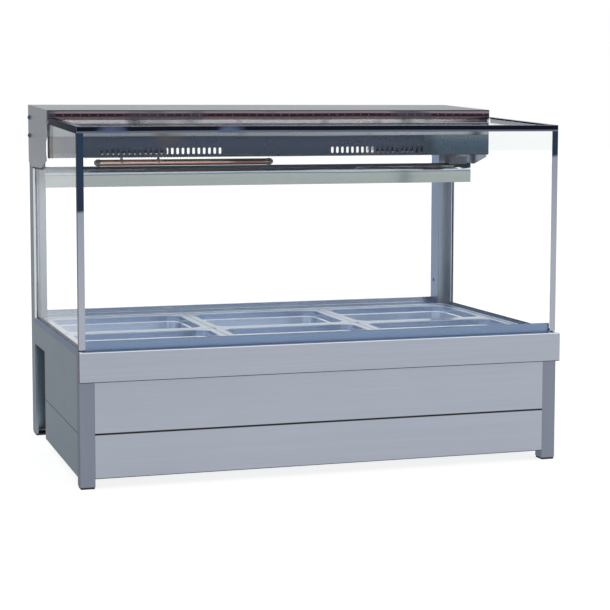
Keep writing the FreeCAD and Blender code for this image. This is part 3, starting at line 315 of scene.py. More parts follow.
def painted_reflection_metal(name, foot, bands, rough=0.12, skew=0.0, patch=None, cover=0.3):
    """Polished steel with a painted reflection: its mirror image is painted into its colour as bands
    that change with height.

    Each band is a height above the foot, in metres, and a display colour. skew leans the bands along
    X, and patch is the colour of broad patches of painted reflection that cover some of the length.
    """
    finish = Finish(name)
    split = finish.node("ShaderNodeSeparateXYZ")
    finish.feed(split.inputs["Vector"], finish.place)
    cloud = finish.noise((2.0, 14.0, 14.0), detail=3.0)
    height = finish.math("ADD", split.outputs["Z"],
                         finish.math("MULTIPLY", split.outputs["X"], skew))
    height = finish.math("ADD", height, finish.spread(cloud, -0.0012, 0.0012))
    low, high = bands[0][0], bands[-1][0]
    # painted reflection: the ramp turns height into the bands of the mirror image
    ramp = finish.node("ShaderNodeValToRGB")
    finish.feed(ramp.inputs["Fac"], finish.spread(height, 0.0, 1.0, foot + low, foot + high))
    stops = ramp.color_ramp.elements
    while len(stops) < len(bands):
        stops.new(0.5)
    for stop, (level, colour) in zip(stops, bands):
        stop.position = (level - low) / (high - low)
        stop.color = rgba(tone(*colour))
    marks = finish.noise((1.0, 1.0, 1.0), scale=11.0, detail=2.0, roughness=0.65)
    shade = finish.blend(finish.spread(marks, 0.0, 0.25), ramp.outputs["Color"],
                         rgba((0.5, 0.5, 0.5)), mode="OVERLAY")
    # painted reflection: broad patches of another reflected colour
    if patch:
        broad = finish.noise((7.0, 1.5, 9.0), detail=2.0)
        shade = finish.blend(finish.spread(broad, 0.0, 0.85, 0.66 - cover / 2, 0.76 - cover / 2),
                             shade, rgba(tone(*patch)))
    middle = tone(*(sum(part) / len(bands) for part in zip(*(band[1] for band in bands))))
    return finish.finish(finish.shader(
        Base_Color=shade, Metallic=1.0, Specular_Tint=slant_tint(middle),
        Roughness=finish.spread(marks, rough, rough + 0.05)))


def clear_glass(name, colour, mirror=0.34):
    """A thin coated pane: clear, mirroring faintly at a slant, with light smears."""
    finish = Finish(name)
    smear = finish.noise((1.0, 1.0, 1.0), scale=5.0, detail=4.0)
    sheen = finish.shader(Base_Color=rgba(colour), Metallic=1.0,
                          Roughness=finish.spread(smear, 0.01, 0.06))
    passing = finish.node("ShaderNodeBsdfTransparent")
    finish.feed(passing.inputs["Color"], rgba(colour))
    slant = finish.node("ShaderNodeLayerWeight")
    finish.feed(slant.inputs["Blend"], 0.5)
    share = finish.math("ADD", finish.math("POWER", slant.outputs["Facing"], SLANT_POWER),
                        HEAD_ON)
    lamp_ray = finish.node("ShaderNodeLightPath").outputs["Is Shadow Ray"]
    amount = finish.math("MULTIPLY", share, finish.math(
        "SUBTRACT", mirror, finish.math("MULTIPLY", lamp_ray, mirror)))
    mix = finish.node("ShaderNodeMixShader")
    finish.feed(mix.inputs[0], amount)
    finish.feed(mix.inputs[1], passing.outputs["BSDF"])
    finish.feed(mix.inputs[2], sheen)
    return finish.finish(mix.outputs["Shader"])


def moulded(name, colour, rough=0.45, depth=0.15, scale=700.0, coat=0.0):
    """Plastic, rubber or glaze: a fine texture and slightly uneven colour."""
    finish = Finish(name)
    texture = finish.noise((1.0, 1.0, 1.0), scale=scale, detail=2.0)
    wear = finish.noise((1.0, 1.0, 1.0), scale=24.0, detail=4.0)
    shade = finish.blend(finish.spread(wear, 0.0, 1.0), rgba(colour, 0.9), rgba(colour, 1.12))
    return finish.finish(finish.shader(
        Base_Color=shade, Roughness=finish.spread(wear, rough - 0.06, rough + 0.08),
        Coat_Weight=coat, Normal=finish.bump(texture, depth, 0.0003)))


# ---- meshes ----------------------------------------------------------------------------------------

def cad_mesh(node):
    """A merged copy of a CAD node's triangles, as a BMesh with its flat faces whole."""
    shape = bmesh.new()
    shape.from_mesh(frame["nodes"][node].data)
    bmesh.ops.remove_doubles(shape, verts=shape.verts, dist=2e-6)
    bmesh.ops.dissolve_limit(shape, angle_limit=math.radians(0.5), verts=shape.verts,
                             edges=shape.edges)
    return shape


def new_piece(name, shape, material):
    """A mesh object at the origin, from a BMesh that this frees."""
    mesh = bpy.data.meshes.new(name)
    shape.to_mesh(mesh)
    shape.free()
    mesh.materials.append(material)
    piece = bpy.data.objects.new(name, mesh)
    bpy.context.scene.collection.objects.link(piece)
    return piece


def apply_modifiers(piece):
    """Swaps a piece's mesh for its evaluated one and drops the modifiers."""
    graph = bpy.context.evaluated_depsgraph_get()
    graph.update()
    mesh = bpy.data.meshes.new_from_object(piece.evaluated_get(graph),
                                           preserve_all_data_layers=True, depsgraph=graph)
    piece.modifiers.clear()
    piece.data = mesh
    return piece


def smooth(piece, angle=32.0):
    """Smooth shading that keeps edges sharper than an angle in degrees."""
    mesh = piece.data
    mesh.polygons.foreach_set("use_smooth", [True] * len(mesh.polygons))
    mesh.set_sharp_from_angle(angle=math.radians(angle))
    mesh.update()
    return piece


def round_edges(piece, width, segments=2, angle=30.0):
    """Rounds a piece's edges and keeps its flat faces shaded flat."""
    smooth(piece)
    bevel = piece.modifiers.new("Rounding", "BEVEL")
    bevel.width = width
    bevel.segments = segments
    bevel.limit_method = "ANGLE"
    bevel.angle_limit = math.radians(angle)
    bevel.harden_normals = True
    return apply_modifiers(piece)


def stands_for(piece, node):
    """Makes a piece the finished look of a CAD node, moving with the node's body."""
    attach(piece, frame["nodes"][node]["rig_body"])
    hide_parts(node)
    return piece


def rides(piece, node):
    """Makes a piece a small extra that moves with a CAD node's body."""
    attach(piece, frame["nodes"][node]["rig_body"])
    return piece


def softened(node, material, width, segments=2, angle=30.0, cuts=()):
    """A CAD node's shape with its edges rounded, which stands for that node.

    Its faces are split at each height in cuts, so that a band of them can be repainted.
    """
    shape = cad_mesh(node)
    for height in cuts:
        bmesh.ops.bisect_plane(shape, geom=[*shape.verts, *shape.edges, *shape.faces],
                               plane_co=(0.0, 0.0, height), plane_no=(0.0, 0.0, 1.0))
    piece = round_edges(new_piece(node + "_finished", shape, material), width, segments, angle)
    return stands_for(piece, node)


def pane(node, material, play, edge):
    """A glass pane, drawn in a little from the metal that it touches."""
    shape = cad_mesh(node)
    shape.normal_update()
    for vert in shape.verts:
        vert.co -= vert.normal * play
    piece = new_piece(node + "_finished", shape, material)
    bevel = piece.modifiers.new("Rounding", "BEVEL")
    bevel.width = edge
    bevel.segments = 1
    return stands_for(apply_modifiers(piece), node)


def repaint(piece, material, chosen):
    """Gives a second material to the faces that a test of centre and normal picks."""
    piece.data.materials.append(material)
    index = len(piece.data.materials) - 1
    for face in piece.data.polygons:
        if chosen(face.center, face.normal):
            face.material_index = index
    return piece


class Pattern:
    """A geometry-node group under construction."""

    def __init__(self, name):
        self.tree = bpy.data.node_groups.new(name, "GeometryNodeTree")
        self.tree.is_modifier = True
        self.tree.interface.new_socket("Geometry", in_out="OUTPUT",
                                       socket_type="NodeSocketGeometry")
        self.entry = self.tree.nodes.new("NodeGroupInput")
        self.exit = self.tree.nodes.new("NodeGroupOutput")

    def knob(self, name, kind):
        """A named input of the group."""
        self.tree.interface.new_socket(name, in_out="INPUT", socket_type="NodeSocket" + kind)
        return self.entry.outputs[name]

    def node(self, kind, links=(), **settings):
        made = self.tree.nodes.new(kind)
        for name, value in settings.items():
            setattr(made, name, value)
        for socket, value in dict(links).items():
            if isinstance(value, bpy.types.NodeSocket):
                self.tree.links.new(value, made.inputs[socket])
            else:
                made.inputs[socket].default_value = value
        return made

    def close(self, instances, material):
        """Realizes the instances and gives them their material."""
        real = self.node("GeometryNodeRealizeInstances", {"Geometry": instances})
        paint = self.node("GeometryNodeSetMaterial",
                          {"Geometry": real.outputs["Geometry"], "Material": material})
        self.tree.links.new(paint.outputs["Geometry"], self.exit.inputs["Geometry"])


def jitter(pattern, amount, seed):
    """A small random turn for each instance, always the same."""
    wobble = pattern.node("FunctionNodeRandomValue", data_type="FLOAT_VECTOR")
    scale = pattern.node("ShaderNodeVectorMath", {0: (1.0, 1.0, 1.0)}, operation="SCALE")
    pattern.tree.links.new(amount, scale.inputs["Scale"])
    away = pattern.node("ShaderNodeVectorMath", {0: scale.outputs["Vector"]}, operation="SCALE")
    away.inputs["Scale"].default_value = -1.0
    pattern.tree.links.new(away.outputs["Vector"], wobble.inputs["Min"])
    pattern.tree.links.new(scale.outputs["Vector"], wobble.inputs["Max"])
    wobble.inputs["Seed"].default_value = seed
    return wobble.outputs["Value"]


def row_pattern():
    """Copies of a shape in a straight row."""
    pattern = Pattern("Row")
    count = pattern.knob("Count", "Int")
    start = pattern.knob("Start", "Vector")
    step = pattern.knob("Step", "Vector")
    wobble = pattern.knob("Wobble", "Float")
    source = pattern.knob("Shape", "Object")
    material = pattern.knob("Material", "Material")
    line = pattern.node("GeometryNodeMeshLine",
                        {"Count": count, "Start Location": start, "Offset": step})
    shape = pattern.node("GeometryNodeObjectInfo", {"Object": source})
    copies = pattern.node("GeometryNodeInstanceOnPoints", {
        "Points": line.outputs["Mesh"], "Instance": shape.outputs["Geometry"],
        "Rotation": jitter(pattern, wobble, ROW_SEED)})
    pattern.close(copies.outputs["Instances"], material)
    return pattern.tree


def ring_pattern():
    """Copies of a shape round an arc about the Y axis, each turned to face outwards."""
    pattern = Pattern("Ring")
    count = pattern.knob("Count", "Int")
    centre = pattern.knob("Centre", "Vector")
    first = pattern.knob("First angle", "Float")
    step = pattern.knob("Angle step", "Float")
    wobble = pattern.knob("Wobble", "Float")
    source = pattern.knob("Shape", "Object")
    material = pattern.knob("Material", "Material")
    line = pattern.node("GeometryNodeMeshLine",
                        {"Count": count, "Start Location": centre, "Offset": (0.0, 0.0, 0.0)})
    index = pattern.node("GeometryNodeInputIndex")
    turn = pattern.node("ShaderNodeMath", {0: index.outputs["Index"], 1: step},
                        operation="MULTIPLY")
    turn = pattern.node("ShaderNodeMath", {0: turn.outputs["Value"], 1: first}, operation="ADD")
    spin = pattern.node("ShaderNodeCombineXYZ", {"Y": turn.outputs["Value"]})
    slack = pattern.node("ShaderNodeVectorMath",
                         {0: spin.outputs["Vector"], 1: jitter(pattern, wobble, RING_SEED)},
                         operation="ADD")
    shape = pattern.node("GeometryNodeObjectInfo", {"Object": source})
    copies = pattern.node("GeometryNodeInstanceOnPoints", {
        "Points": line.outputs["Mesh"], "Instance": shape.outputs["Geometry"],
        "Rotation": slack.outputs["Vector"]})
    pattern.close(copies.outputs["Instances"], material)
    return pattern.tree


def grow(name, tree, source, material, node, **values):
    """A piece made by a pattern from a source shape, turned into a plain mesh."""
    piece = bpy.data.objects.new(name, bpy.data.meshes.new(name))
    bpy.context.scene.collection.objects.link(piece)
    modifier = piece.modifiers.new("Pattern", "NODES")
    modifier.node_group = tree
    named = {"Shape": source, "Material": material}
    named.update({key.replace("_", " "): value for key, value in values.items()})
    for item in tree.interface.items_tree:
        if item.in_out == "INPUT" and item.name in named:
            modifier[item.identifier] = named[item.name]
    apply_modifiers(piece)
    bpy.data.objects.remove(source)
    return rides(piece, node)


def turned(profile, axis="Y", sides=24):
    """A shape of revolution from (radius, distance) pairs along an axis."""
    shape = bmesh.new()
    rings = []
    for radius, along in profile:
        if radius == 0.0:
            rings.append([shape.verts.new((0.0, along, 0.0))])
            continue
        rings.append([shape.verts.new((radius * math.cos(math.tau * i / sides), along,
                                       radius * math.sin(math.tau * i / sides)))
                      for i in range(sides)])
    for below, above in zip(rings, rings[1:]):
        for i in range(sides):
            j = (i + 1) % sides
            corners = [below[i % len(below)], below[j % len(below)], above[j % len(above)],
                       above[i % len(above)]]
            shape.faces.new(list(dict.fromkeys(corners)))
    if axis == "X":
        bmesh.ops.rotate(shape, verts=shape.verts, matrix=Matrix.Rotation(-math.pi / 2, 3, "Z"))
    bmesh.ops.recalc_face_normals(shape, faces=shape.faces)
    return shape


def wedge(outline, low, high):
    """A prism between two distances along Y, from an outline of (x, z) corners."""
    shape = bmesh.new()
    fronts = [shape.verts.new((x, low, z)) for x, z in outline]
    backs = [shape.verts.new((x, high, z)) for x, z in outline]
    shape.faces.new(fronts)
    shape.faces.new(backs[::-1])
    for i in range(len(outline)):
        j = (i + 1) % len(outline)
        shape.faces.new((fronts[j], fronts[i], backs[i], backs[j]))
    bmesh.ops.recalc_face_normals(shape, faces=shape.faces)
    return shape


def source_of(name, shape, material, width=0.0):
    """A source shape for a pattern, its edges rounded where a width is given."""
    piece = new_piece(name, shape, material)
    return round_edges(piece, width) if width else smooth(piece)


def screw_shape(radius, height):
    """A domed screw head along +Y with a dimple in its middle."""
    return turned([(0.0, height * 0.55), (radius * 0.22, height * 0.6), (radius * 0.3, height),
                   (radius * 0.62, height * 0.86), (radius * 0.92, height * 0.42),
                   (radius, 0.0)], sides=20)


CAD_BOX = {}


# ---- operators -------------------------------------------------------------------------------------

class CaseOperator:
    bl_options = {"REGISTER", "UNDO"}

    @property
    def colours(self):
        return bpy.context.scene.case_finishes

    @property
    def sizes(self):
        return bpy.context.scene.case_details


class CASE_OT_base(CaseOperator, Operator):
    """Brushed skins, legs and posts of the base"""
    bl_idname = "display_case.base"
    bl_label = "Base and posts"

    def execute(self, context):
        leg = brushed_metal("leg_brushed", self.colours.leg, "Z", rough=0.36)
        post = brushed_metal("post_brushed", self.colours.post, "Z", rough=0.34)
        # painted shade: the left post takes the darker end steel too
        grey_post = brushed_metal("post_grey_painted_shade", self.colours.side, "Z", rough=0.34)
        cover = brushed_metal("post_cover_brushed", tone(138, 148, 160), "Z", rough=0.34)
        front = brushed_metal("front_brushed", self.colours.panel, "X", rough=0.34)
        side = brushed_metal("side_brushed_painted_shade", self.colours.side, "Y", rough=0.36)
        rubber = moulded("foot_black", (0.02, 0.02, 0.022), rough=0.7)
        for node in ("leg_front_left", "leg_front_right"):
            softened(node, leg, self.sizes.fold)
        softened("post_left", grey_post, self.sizes.fold)
        softened("post_right", post, self.sizes.fold)
        softened("post_covers", cover, self.sizes.fold / 2)
        gap_shade = moulded("joint_shadow", (0.035, 0.03, 0.032), rough=0.6)
        painted_highlight = polished_metal("fold_painted_highlight", tone(226, 230, 238), rough=0.2)
        for node in ("apron_rear", "control_panel", "base_plate"):
            softened(node, front, self.sizes.fold)
        hem = self.sizes.hem
        for node in ("panel_front_upper", "panel_front_lower"):
            low, high = (corner.z for corner in CAD_BOX[node])
            panel = softened(node, front, self.sizes.fold, cuts=(low + hem, high - hem))
            # painted shade: the top and bottom hems of each front skin are painted dark for the shade
            # in the gaps
            repaint(panel, gap_shade, lambda at, normal: not low + hem < at.z < high - hem)
        low, high = (corner.z for corner in CAD_BOX["fascia_front"])
        fascia = softened("fascia_front", front, self.sizes.fold, cuts=(low + hem, high - hem))
        # painted shade: the fascia's bottom hem and its left-facing faces are painted dark
        repaint(fascia, gap_shade, lambda at, normal: at.z < low + hem or normal.x < -SIDEWAYS)
        # painted highlight: the fascia's top hem is painted pale for the light that its fold catches
        repaint(fascia, painted_highlight, lambda at, normal: at.z > high - hem and normal.x > -SIDEWAYS)
        for node in ("panel_left_upper", "panel_right_upper", "panels_end_lower"):
            softened(node, side, self.sizes.fold / 2)
        softened("foot_pads", rubber, EDGE_RUBBER)
        self.add_post_screws()
        return {"FINISHED"}

    def add_post_screws(self):
        """A pair of screws through the inner face of each rear post."""
        dark = polished_metal("post_screw_dark", tone(74, 94, 126))
        for side, sign in (("left", 1), ("right", -1)):
            low, high = CAD_BOX["post_" + side]
            face = high.x if sign > 0 else low.x
            shape = screw_shape(SCREW_RADIUS, SCREW_DOME)
            bmesh.ops.rotate(shape, verts=shape.verts,
                             matrix=Matrix.Rotation(-sign * math.pi / 2, 3, "Z"))
            grow("post_screws_" + side, row_pattern(), source_of("screw", shape, dark), dark,
                 "post_" + side, Count=2,
                 Start=(face, high.y - SCREW_INSET, low.z + SCREW_RISE),
                 Step=(0.0, 0.0, SCREW_PITCH), Wobble=0.0)


class CASE_OT_deck(CaseOperator, Operator):
    """Deck, well, bars and channels"""
    bl_idname = "display_case.deck"
    bl_label = "Deck and well"

    def execute(self, context):
        deck = brushed_metal("deck_brushed", self.colours.deck, "X", rough=0.24)
        # painted reflection: the glass channels and the front upstand take the darker, bluer upstand
        # steel
        rail = brushed_metal("channel_brushed_painted_reflection", self.colours.upstand, "Y", rough=0.3)
        upstand = brushed_metal("upstand_brushed_painted_reflection", self.colours.upstand, "X", rough=0.3)
        well = brushed_metal("well_dull", tone(150, 152, 156), "X", rough=0.45)
        element = brushed_metal("element_dark", tone(92, 86, 82), "X", rough=0.5)
        wool = moulded("mineral_wool", tone(214, 206, 176), rough=0.95, depth=0.6, scale=300.0)
        seal = moulded("seal_grey", tone(104, 112, 124), rough=0.6)
        painted_highlight = polished_metal("deck_fold_painted_highlight", tone(224, 232, 244), rough=0.2)
        bar = brushed_metal("bar_brushed", tone(150, 167, 194), "X", rough=0.24)
        # painted highlight: the sloping faces of the rounded edges on the deck and bars are painted
        # pale
        for node, skin in (("deck_surround", deck), ("pan_bars_long", bar),
                           ("pan_bars_short", bar)):
            repaint(softened(node, skin, self.sizes.fold * 1.5), painted_highlight,
                    lambda at, normal: SIDEWAYS < normal.z < FACING_UP)
        softened("glass_channels", rail, self.sizes.fold / 2)
        softened("front_upstand", upstand, self.sizes.fold / 2)
        softened("well_tank", well, self.sizes.fold / 2)
        softened("heating_element", element, EDGE_FINE, angle=60.0)
        softened("well_insulation", wool, EDGE_WOOL, segments=3)
        softened("glazing_strips", seal, EDGE_SEAL, segments=1)
        return {"FINISHED"}


class CASE_OT_pans(CaseOperator, Operator):
    """Six lift-out pans of pressed steel"""
    bl_idname = "display_case.pans"
    bl_label = "Pans"

    def execute(self, context):
        pressed = brushed_metal("pan_satin", self.colours.pan, "X", rough=0.2, contrast=0.03)
        painted_highlight = polished_metal("pan_rim_painted_highlight", tone(246, 249, 253), rough=0.2)
        flange = brushed_metal("pan_flange", tone(192, 204, 222), "X", rough=0.24)
        band = self.sizes.rim
        for row in ("front", "rear"):
            for column in ("left", "middle", "right"):
                node = f"pan_{row}_{column}"
                top = CAD_BOX[node][1].z
                ledge = top - PAN_SHOULDER
                pan = softened(node, pressed, EDGE_SMALL, angle=40.0,
                               cuts=(top - band, ledge - band / 2, ledge + band / 2))
                # painted highlight: a pale band along the top of each pan's wall and round its
                # shoulder
                repaint(pan, painted_highlight, lambda at, normal: at.z > top - band
                        or abs(at.z - ledge) < band / 2)
                repaint(pan, flange, lambda at, normal: at.z > top - FLANGE_DEPTH
                        and normal.z > FACING_UP)
        return {"FINISHED"}


class CASE_OT_glass(CaseOperator, Operator):
    """Front, side and top panes with polished edges"""
    bl_idname = "display_case.glass"
    bl_label = "Glass"

    def execute(self, context):
        clear = clear_glass("clear_pane", self.colours.glass)
        for node in ("glass_front", "glass_left", "glass_right", "glass_top"):
            pane(node, clear, self.sizes.glass_play, self.sizes.glass_edge)
        return {"FINISHED"}


class CASE_OT_trims(CaseOperator, Operator):
    """Polished angles along the edges of the glass"""
    bl_idname = "display_case.trims"
    bl_label = "Glass trims"

    def execute(self, context):
        # painted reflections: dark on the side trims, and bands by height on the corner and front
        # trims
        dim = polished_metal("side_trim_painted_reflection", tone(64, 86, 112))
        pale = polished_metal("rear_trim_polished", tone(196, 202, 212))
        corner = painted_reflection_metal("corner_painted_reflection", CAD_BOX["corner_trims"][0].z, [
            (0.124, (158, 163, 173)), (0.318, (142, 148, 162)), (0.324, (40, 52, 72)),
            (0.444, (44, 60, 80))], skew=-0.10)
        front = painted_reflection_metal("top_trim_painted_reflection", CAD_BOX["top_trim_front"][0].z, [
            (-0.0015, (120, 124, 132)), (0.0030, (92, 100, 116)), (0.0045, (20, 22, 34)),
            (0.0115, (22, 26, 38)), (0.0130, (90, 96, 110))],
            patch=(84, 98, 126), cover=0.14)
        for node, metal in (("corner_trims", corner), ("top_trim_front", front),
                            ("top_trims_side", dim), ("rear_trims", pale)):
            softened(node, metal, EDGE_TRIM)
        return {"FINISHED"}


class CASE_OT_canopy(CaseOperator, Operator):
    """Canopy roof, ends, rivets and dome nuts"""
    bl_idname = "display_case.canopy"
    bl_label = "Canopy"

    def execute(self, context):
        low, high = CAD_BOX["canopy_cover"]
        roof = brushed_metal("canopy_brushed", self.colours.canopy, "X", rough=0.28)
        # painted reflection: the canopy's front face takes its mirror image as bands by height
        face = painted_reflection_metal("canopy_face_painted_reflection", low.z, [
            (0.0170, (244, 246, 249)), (0.0238, (240, 242, 246)), (0.0248, (112, 98, 106)),
            (0.0300, (98, 82, 88)), (0.0325, (46, 32, 40)), (0.0375, (48, 34, 42)),
            (0.0395, (136, 126, 136)), (0.0430, (124, 116, 126)), (0.0442, (46, 42, 50)),
            (0.0475, (60, 58, 64))], patch=(70, 70, 80), cover=0.25)
        end = brushed_metal("canopy_end_brushed", tone(152, 159, 168), "Y", rough=0.30)
        # painted reflection: the chrome dome nuts are painted dark for what they mirror
        bright = polished_metal("nut_painted_reflection", tone(76, 80, 88), rough=0.14)
        cover = softened("canopy_cover", roof, self.sizes.fold)
        repaint(cover, face, lambda at, normal: normal.y < -0.5 and at.y < low.y + FACE_DEPTH)
        for side in ("left", "right"):
            softened(f"canopy_end_{side}", end, self.sizes.fold / 2)
        softened("canopy_nuts", bright, EDGE_FINE, angle=50.0)
        self.add_rivets(low, high)
        return {"FINISHED"}

    def add_rivets(self, low, high):
        """A row of small rivets along the canopy's front."""
        pale = polished_metal("rivet_pale", tone(196, 198, 206), rough=0.2)
        shape = turned([(0.0, -0.0005), (0.0005, -0.0004), (0.0008, 0.0)], sides=10)
        count = self.sizes.rivets
        step = (high.x - low.x - 2 * RIVET_INSET) / (count - 1)
        grow("canopy_rivets", row_pattern(), source_of("rivet", shape, pale), pale,
             "canopy_cover", Count=count,
             Start=(low.x + RIVET_INSET, low.y, low.z + RIVET_RISE),
             Step=(step, 0.0, 0.0), Wobble=0.0)


class CASE_OT_lamp_housing(CaseOperator, Operator):
    """Slotted lamp front, its end cover, cross bars, reflectors, rail and hangers"""
    bl_idname = "display_case.lamp_housing"
    bl_label = "Lamp housing"

    def execute(self, context):
        low, high = CAD_BOX["lamp_panel"]
        # painted reflections: the slotted front and its teeth, its end cover and the rail take their
        # mirror images as bands by height, the rail's with a painted highlight line
        mirror = painted_reflection_metal("lamp_panel_painted_reflection", low.z, [
            (0.0, (46, 56, 72)), (0.028, (58, 66, 84)), (0.044, (52, 60, 78)),
            (0.046, (120, 126, 132)), (0.073, (134, 138, 144))],
            rough=0.26, patch=(84, 76, 74), cover=0.2)
        teal = painted_reflection_metal("end_cover_painted_reflection", low.z, [
            (0.0, (56, 72, 84)), (0.030, (68, 84, 100)), (0.045, (96, 108, 118))])
        rail_reflection = painted_reflection_metal("rail_painted_reflection", CAD_BOX["lower_rail"][0].z, [
            (0.0, (152, 159, 158)), (0.0255, (164, 171, 170)), (0.0270, (98, 108, 118)),
            (0.0295, (184, 196, 208)), (0.0340, (200, 210, 220)), (0.0390, (150, 160, 168)),
            (0.0415, (76, 84, 92)), (0.045, (48, 52, 60))])
        steel = brushed_metal("bracket_brushed", self.colours.leg, "X")
        bright = polished_metal("reflector_bright", tone(220, 220, 222), rough=0.15)
        for node, metal in (("lamp_panel", mirror), ("lamp_end_cover", teal),
                            ("lower_rail", rail_reflection)):
            softened(node, metal, EDGE_SMALL)
        for node in ("lamp_crossbars", "rail_hangers"):
            softened(node, steel, EDGE_TRIM)
        softened("lamp_reflectors", bright, EDGE_FINE, angle=50.0)
        self.add_teeth(mirror, low, high)
        return {"FINISHED"}

    def add_teeth(self, material, low, high):
        """Short teeth along the foot of the slotted front."""
        count = self.sizes.teeth
        step = (high.x - low.x) / count
        reach = step * 0.32
        outline = [(-reach, 0.0), (-reach / 2, -TOOTH_DROP), (reach / 2, -TOOTH_DROP),
                   (reach, 0.0)]
        shape = wedge(outline, 0.0, TOOTH_DEPTH)
        grow("lamp_teeth", row_pattern(), source_of("tooth", shape, material), material,
             "lamp_panel", Count=count, Start=(low.x + step / 2, low.y, low.z),
             Step=(step, 0.0, 0.0), Wobble=0.0)


class CASE_OT_lamps(CaseOperator, Operator):
    """Tubular lamps, their windings and end caps, and their holders"""
    bl_idname = "display_case.lamps"
    bl_label = "Lamps"

    def execute(self, context):
        low, high = CAD_BOX["heat_lamp_left"]
        # painted highlight and painted shade: a pale band along the tube with darker copper below and
        # above, and darker patches; the windings share it
        copper = painted_reflection_metal("lamp_copper_painted_light", low.z, [
            ((high.z - low.z) * share, colour) for share, colour in (
                (0.0, (52, 34, 32)), (0.22, (122, 78, 66)), (0.45, (196, 150, 134)),
                (0.62, (246, 236, 232)), (0.76, (206, 160, 146)), (1.0, (92, 58, 50)))],
            rough=0.16, patch=(112, 74, 60), cover=0.35)
        glaze = moulded("ceramic_dark", tone(92, 84, 80), rough=0.25, depth=0.05, coat=0.5)
        low, high = CAD_BOX["lamp_holders"]
        # painted reflection: the holders are pale above and dark below
        metal = painted_reflection_metal("holder_painted_reflection", low.z, [
            ((high.z - low.z) * share, colour) for share, colour in (
                (0.0, (62, 76, 92)), (0.4, (80, 92, 106)), (0.5, (196, 198, 202)),
                (1.0, (150, 152, 156)))],
            patch=(70, 62, 66), cover=0.4)
        for node in ("heat_lamp_left", "heat_lamp_right"):
            softened(node, copper, EDGE_FINE, angle=60.0)
            self.add_windings(node, copper)
            self.add_caps(node, glaze)
        softened("lamp_holders", metal, EDGE_SOFT)
        return {"FINISHED"}

    def add_windings(self, node, material):
        """Fine rings that show the turns of wire through the quartz."""
        low, high = CAD_BOX[node]
        radius = (high.z - low.z) / 2
        turns = self.sizes.windings
        room = high.x - low.x - 4 * radius
        profile = [(radius - 0.0002, -0.0008), (radius + 0.0002, -0.0004),
                   (radius + 0.0002, 0.0004), (radius - 0.0002, 0.0008)]
        ring = source_of("winding", turned(profile, axis="X"), material)
        grow(node + "_windings", row_pattern(), ring, material, node, Count=turns,
             Start=(low.x + 2 * radius, (low.y + high.y) / 2, (low.z + high.z) / 2),
             Step=(room / (turns - 1), 0.0, 0.0), Wobble=0.004)

    def add_caps(self, node, material):
        """A glazed cap on each end of the tube."""
        low, high = CAD_BOX[node]
        radius = (high.z - low.z) / 2
        shape = bmesh.new()
        profile = [(0.0, -0.0002), (radius * 0.55, -0.0002), (radius + 0.0009, radius * 0.8),
                   (radius + 0.0009, radius * 1.7), (radius * 0.9, radius * 1.75)]
        for x, way in ((low.x, 1), (high.x, -1)):
            cap = turned([(r, way * d) for r, d in profile], axis="X")
            bmesh.ops.translate(cap, verts=cap.verts,
                                vec=(x, (low.y + high.y) / 2, (low.z + high.z) / 2))
            joined = bpy.data.meshes.new("cap")
            cap.to_mesh(joined)
            cap.free()
            shape.from_mesh(joined)
            bpy.data.meshes.remove(joined)
        rides(smooth(new_piece(node + "_caps", shape, material)), node)


class CASE_OT_controls(CaseOperator, Operator):
    """Knob, switches, pilot lamp, gland, terminals and screws on the servers' side"""
    bl_idname = "display_case.controls"
    bl_label = "Controls"

    def execute(self, context):
        black = moulded("control_black", (0.03, 0.03, 0.033), rough=0.4)
        green = moulded("rocker_green", tone(40, 140, 70), rough=0.2, coat=0.4)
        amber = moulded("pilot_amber", tone(226, 130, 40), rough=0.15, coat=0.6)
        white = moulded("terminal_white", tone(225, 225, 218), rough=0.35)
        bright = polished_metal("screw_bright", tone(205, 207, 212))
        for node in ("thermostat", "thermostat_knob", "switch_housings", "cable_gland"):
            softened(node, black, EDGE_SOFT, angle=40.0)
        for node in ("rocker_base_heat", "rocker_lamps"):
            softened(node, green, EDGE_TRIM)
        softened("pilot_lamp", amber, self.sizes.fold, angle=40.0)
        softened("terminal_block", white, EDGE_SOFT, angle=40.0)
        softened("panel_screws", bright, EDGE_FINE, angle=50.0)
        self.add_ribs(black)
        self.add_dial(white)
        return {"FINISHED"}

    def add_ribs(self, material):
        """Grip ribs round the knob."""
        low, high = CAD_BOX["thermostat_knob"]
        root, crest = GRIP_RADIUS - 0.0002, GRIP_RADIUS + 0.0006
        outline = [(-0.0006, root), (-0.0004, crest), (0.0004, crest), (0.0006, root)]
        shape = wedge(outline, 0.0, GRIP_LENGTH)
        step = math.tau / self.sizes.ribs
        grow("knob_ribs", ring_pattern(), source_of("rib", shape, material, EDGE_SEAL), material,
             "thermostat_knob", Count=self.sizes.ribs - RIBS_LEFT_OUT,
             Centre=((low.x + high.x) / 2, high.y - GRIP_END - GRIP_LENGTH,
                     (low.z + high.z) / 2),
             First_angle=(RIBS_LEFT_OUT / 2 + 1) * step, Angle_step=step, Wobble=0.0)

    def add_dial(self, material):
        """Graduation marks round the thermostat knob."""
        low, high = CAD_BOX["thermostat_knob"]
        face = CAD_BOX["control_panel"][1].y
        skirt = (high.x - low.x) / 2
        inner, outer = skirt + 0.0025, skirt + 0.0065
        outline = [(-0.0005, inner), (-0.0005, outer), (0.0005, outer), (0.0005, inner)]
        shape = wedge(outline, 0.0, 0.0002)
        grow("dial_marks", ring_pattern(), source_of("mark", shape, material), material,
             "control_panel", Count=DIAL_MARKS,
             Centre=((low.x + high.x) / 2, face, (low.z + high.z) / 2),
             First_angle=0.0, Angle_step=math.radians(-30.0), Wobble=0.0)


